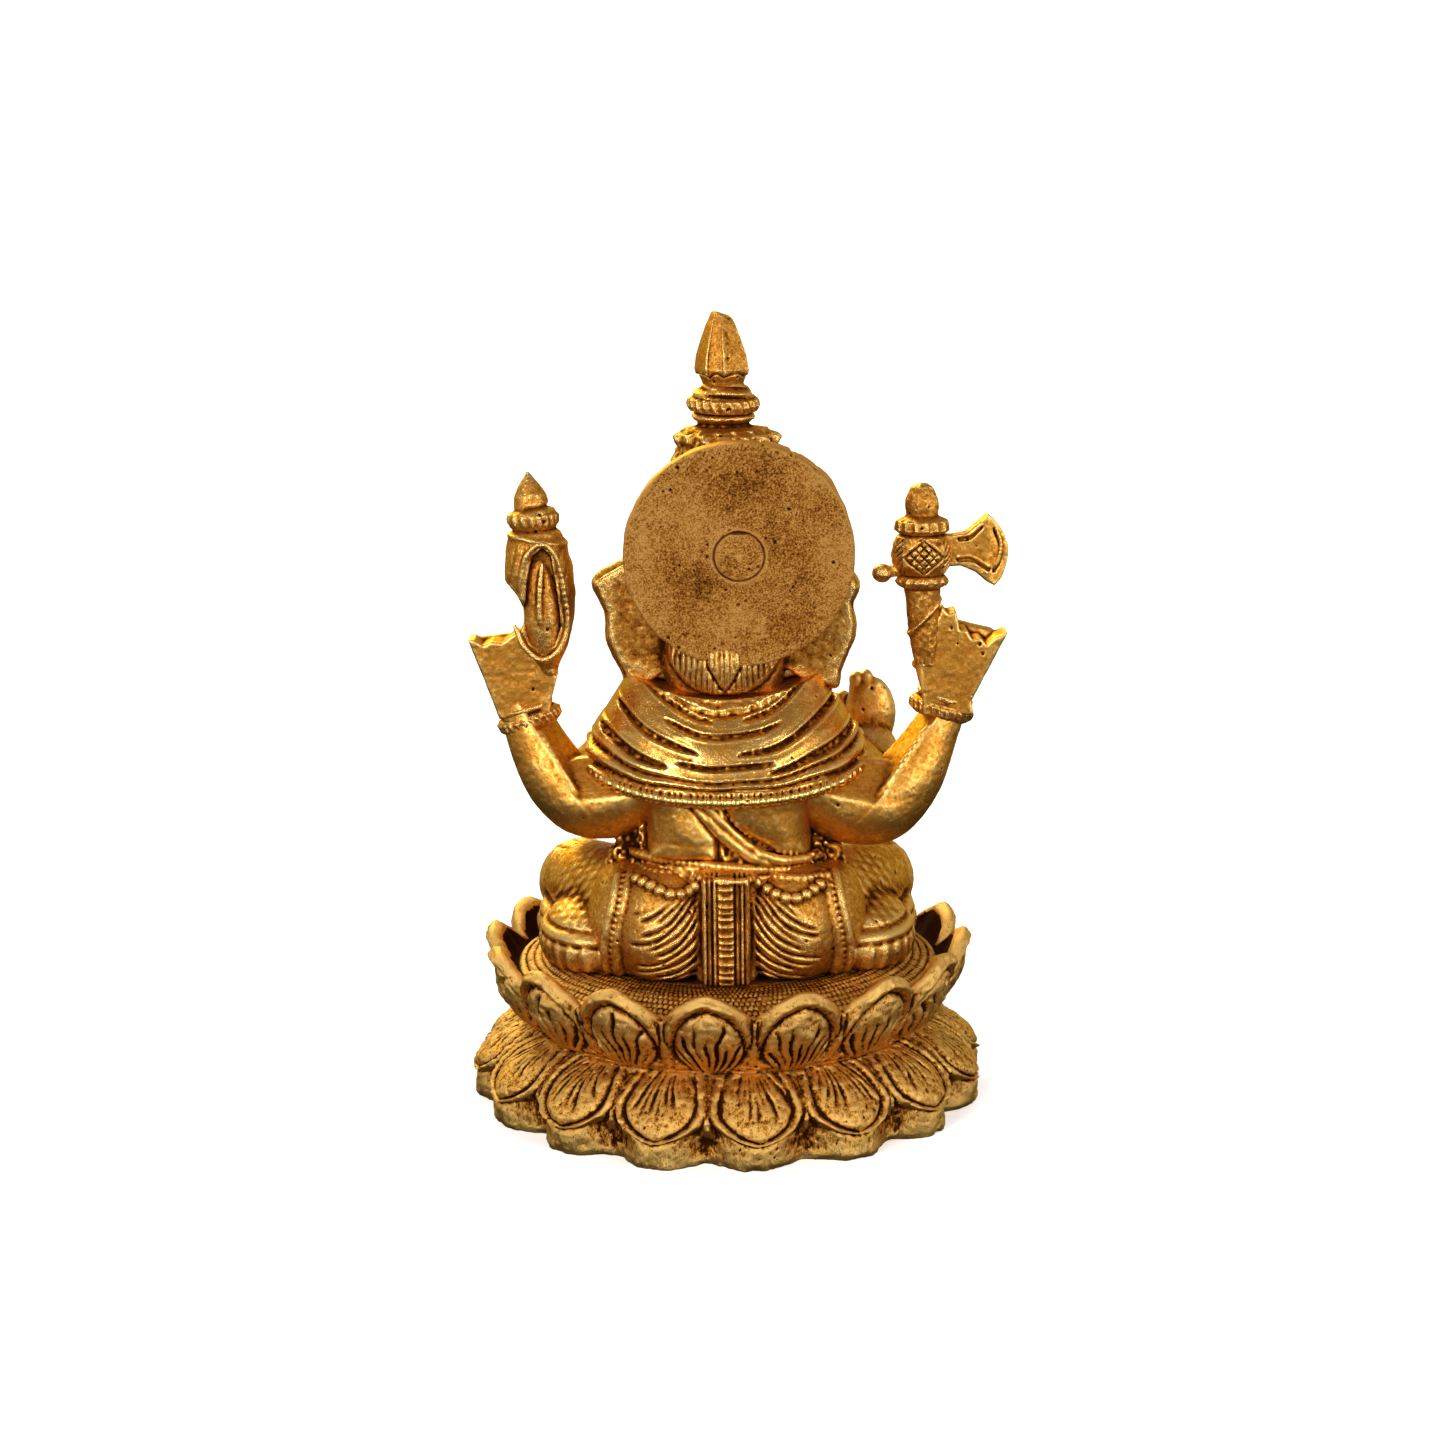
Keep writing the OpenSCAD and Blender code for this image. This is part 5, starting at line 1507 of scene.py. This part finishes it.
def sweet_bowl():
    """The bowl with its beaded rim and its heap of round sweets."""
    low, high = node_mm("sweet_bowl")
    at = (low + high) / 2
    foot = np.array((at[0], at[1], low[2]))
    clay = Clay((at[0] - 7, at[1] - 7, low[2] - 1), (at[0] + 7, at[1] + 7, high[2] + 1.5), 0.2)
    clay.add(spindle(foot + (0, 0, 0.3), foot + (0, 0, 3.4), [0, 0.4, 1.0], [3.6, 5.0, 5.5]), 0.2)
    clay.keep(below(low[2] + 3.3), 0.2)
    clay.cut(egg(foot + (0, 0, 4.4), (4.7, 4.7, 3.2)), 0.2)
    rim = circled(foot + (0, 0, 3.1), (5.4, 0, 0), (0, 5.4, 0), np.linspace(0, 2 * math.pi, 60))
    beads(clay, rim, 0.55, 1.0, 0.15)
    for spot in circled(foot + (0, 0, 3.6), (2.7, 0, 0), (0, 2.7, 0), np.radians(np.arange(0, 360, 72))):
        clay.add(ball(spot, 1.8), 0.12)
    clay.add(ball(foot + (0, 0, 4.6), 1.9), 0.12)
    clay.keep(above(low[2]), 0.2)
    clay.make("sweet_bowl_cast", ["sweet_bowl"], cast, pits=10, seed=83)


hips()
waist()
legs()
belly()
shawl()
halo()
crown_collar()
crown_bud()
rear_arm("rear_left_arm",
         [(37.8, 6.2, 77.5), (35.4, 7.2, 71.4), (31.8, 8.4, 65.2), (27.2, 9.2, 61.3), (22, 9.8, 61.4),
          (17, 10, 64)],
         [4.9, 5.6, 6.7, 7.2, 7.4, 8.0], crease=(28.5, 15.6, 63.3), crotch=(28.5, 9.0, 69.9),
         ridge=(35.1, 11.8, 74.1), inner=(30.9, 3.5, 72.3), tip=(23.5, 16.4, 63.9), seed=43)
rear_arm("rear_right_arm",
         [(-41.8, 6.2, 77.8), (-38.8, 7.2, 71.4), (-35.0, 8.4, 65.0), (-29.6, 9.2, 59.9), (-23.4, 9.8, 60.2),
          (-18, 10, 63.6)],
         [4.2, 5.0, 6.6, 7.7, 7.7, 8.0], crease=(-29.3, 15.9, 62.3), crotch=(-31.2, 9.0, 68.7),
         ridge=(-38.7, 11.2, 74.6), inner=(-34.7, 3.5, 72.2), tip=(-24.4, 16.6, 63.2), seed=41)
bangle("left_bangle", "rear_left_bangle", (37.7, 6.2, 76.4), 17, 43)
bangle("right_bangle", "rear_right_bangle", (-41.7, 6.2, 77.7), -16, 44)
left_hand()
right_hand()
conch()
axe()
head()
tusk("left_tusk", 1, reach=9.4, end_r=0.95, lift=1.1, chip=0.0)
tusk("right_tusk", -1, reach=4.0, end_r=1.75, lift=0.0, chip=0.25)
front_right_arm()
front_left_arm()
sweet_bowl()


# ---------------------------------------------------------------- camera, light and floor

def studio():
    """A pale floor that sweeps up behind, a soft room, and the camera at the statue's back."""
    height = CAD_BOX[1][2]
    target = Vector((0.48 * MM, 0, 0.4825 * height))
    distance, lift, roll = 3.42 * height, math.radians(12), math.radians(-0.6)
    camera = bpy.data.objects.new("camera", bpy.data.cameras.new("camera"))
    camera.data.lens, camera.data.sensor_width = 66.5, 36
    camera.location = target + distance * Vector((0, math.cos(lift), math.sin(lift)))
    look = (target - camera.location).to_track_quat("-Z", "Y")
    camera.rotation_euler = (look.to_matrix() @ Matrix.Rotation(roll, 3, "Z")).to_euler()
    camera.data.clip_start = 0.01
    bpy.context.scene.collection.objects.link(camera)
    bpy.context.scene.camera = camera

    material, tree, shader = shade("pale_floor", metallic=0.0)
    place = add(tree, "ShaderNodeTexCoord").outputs["Object"]
    pale = mixed(tree, speckle(tree, place, 40.0), (0.90, 0.90, 0.90), (0.94, 0.94, 0.94))
    tree.links.new(pale, shader.inputs["Base Color"])
    tree.links.new(pale, shader.inputs["Emission Color"])
    shader.inputs["Emission Strength"].default_value = 0.42
    shader.inputs["Roughness"].default_value = 0.9
    bend = [(-0.55 - 0.35 * math.sin(a), 0.35 * (1 - math.cos(a))) for a in np.radians(np.arange(0, 91, 6))]
    sweep = [(3.0, 0.0)] + bend + [(-0.9, 3.0)]
    corners = [(x, y, z) for y, z in sweep for x in (-3.5, 3.5)]
    mesh = bpy.data.meshes.new("floor")
    mesh.from_pydata(corners, [], [(2 * i, 2 * i + 1, 2 * i + 3, 2 * i + 2) for i in range(len(sweep) - 1)])
    mesh.shade_smooth()
    mesh.materials.append(material)
    floor = bpy.data.objects.new("floor", mesh)
    bpy.context.scene.collection.objects.link(floor)
    floor.visible_glossy = False

    world = bpy.data.worlds.new("room")
    world.use_nodes = True
    sky = world.node_tree
    split = add(sky, "ShaderNodeSeparateXYZ")
    sky.links.new(add(sky, "ShaderNodeTexCoord").outputs["Generated"], split.inputs[0])
    height_of = math_node(sky, "ADD", math_node(sky, "MULTIPLY", split.outputs["Z"], 0.5), 0.5)
    glow = ramp(sky, height_of, [(0.30, 0.04), (0.50, 0.72), (0.75, 0.50), (0.97, 0.30)])
    sky.links.new(glow, sky.nodes["Background"].inputs[0])
    bpy.context.scene.world = world
    bpy.context.scene.view_settings.view_transform = "Standard"

    def softbox(name, where, size, power):
        light = bpy.data.lights.new(name, "AREA")
        light.shape, light.size, light.size_y, light.energy = "RECTANGLE", size[0], size[1], power
        lamp = bpy.data.objects.new(name, light)
        lamp.location = where
        lamp.rotation_euler = (Vector((0, 0, 0.07)) - lamp.location).to_track_quat("-Z", "Y").to_euler()
        bpy.context.scene.collection.objects.link(lamp)

    softbox("key", (0.50, 0.85, 0.55), (0.30, 0.30), 6)
    softbox("fill", (-0.75, 0.75, 0.40), (0.30, 0.40), 4.5)
    softbox("far_side", (0.3, -0.8, 0.6), (0.5, 0.5), 7)


studio()
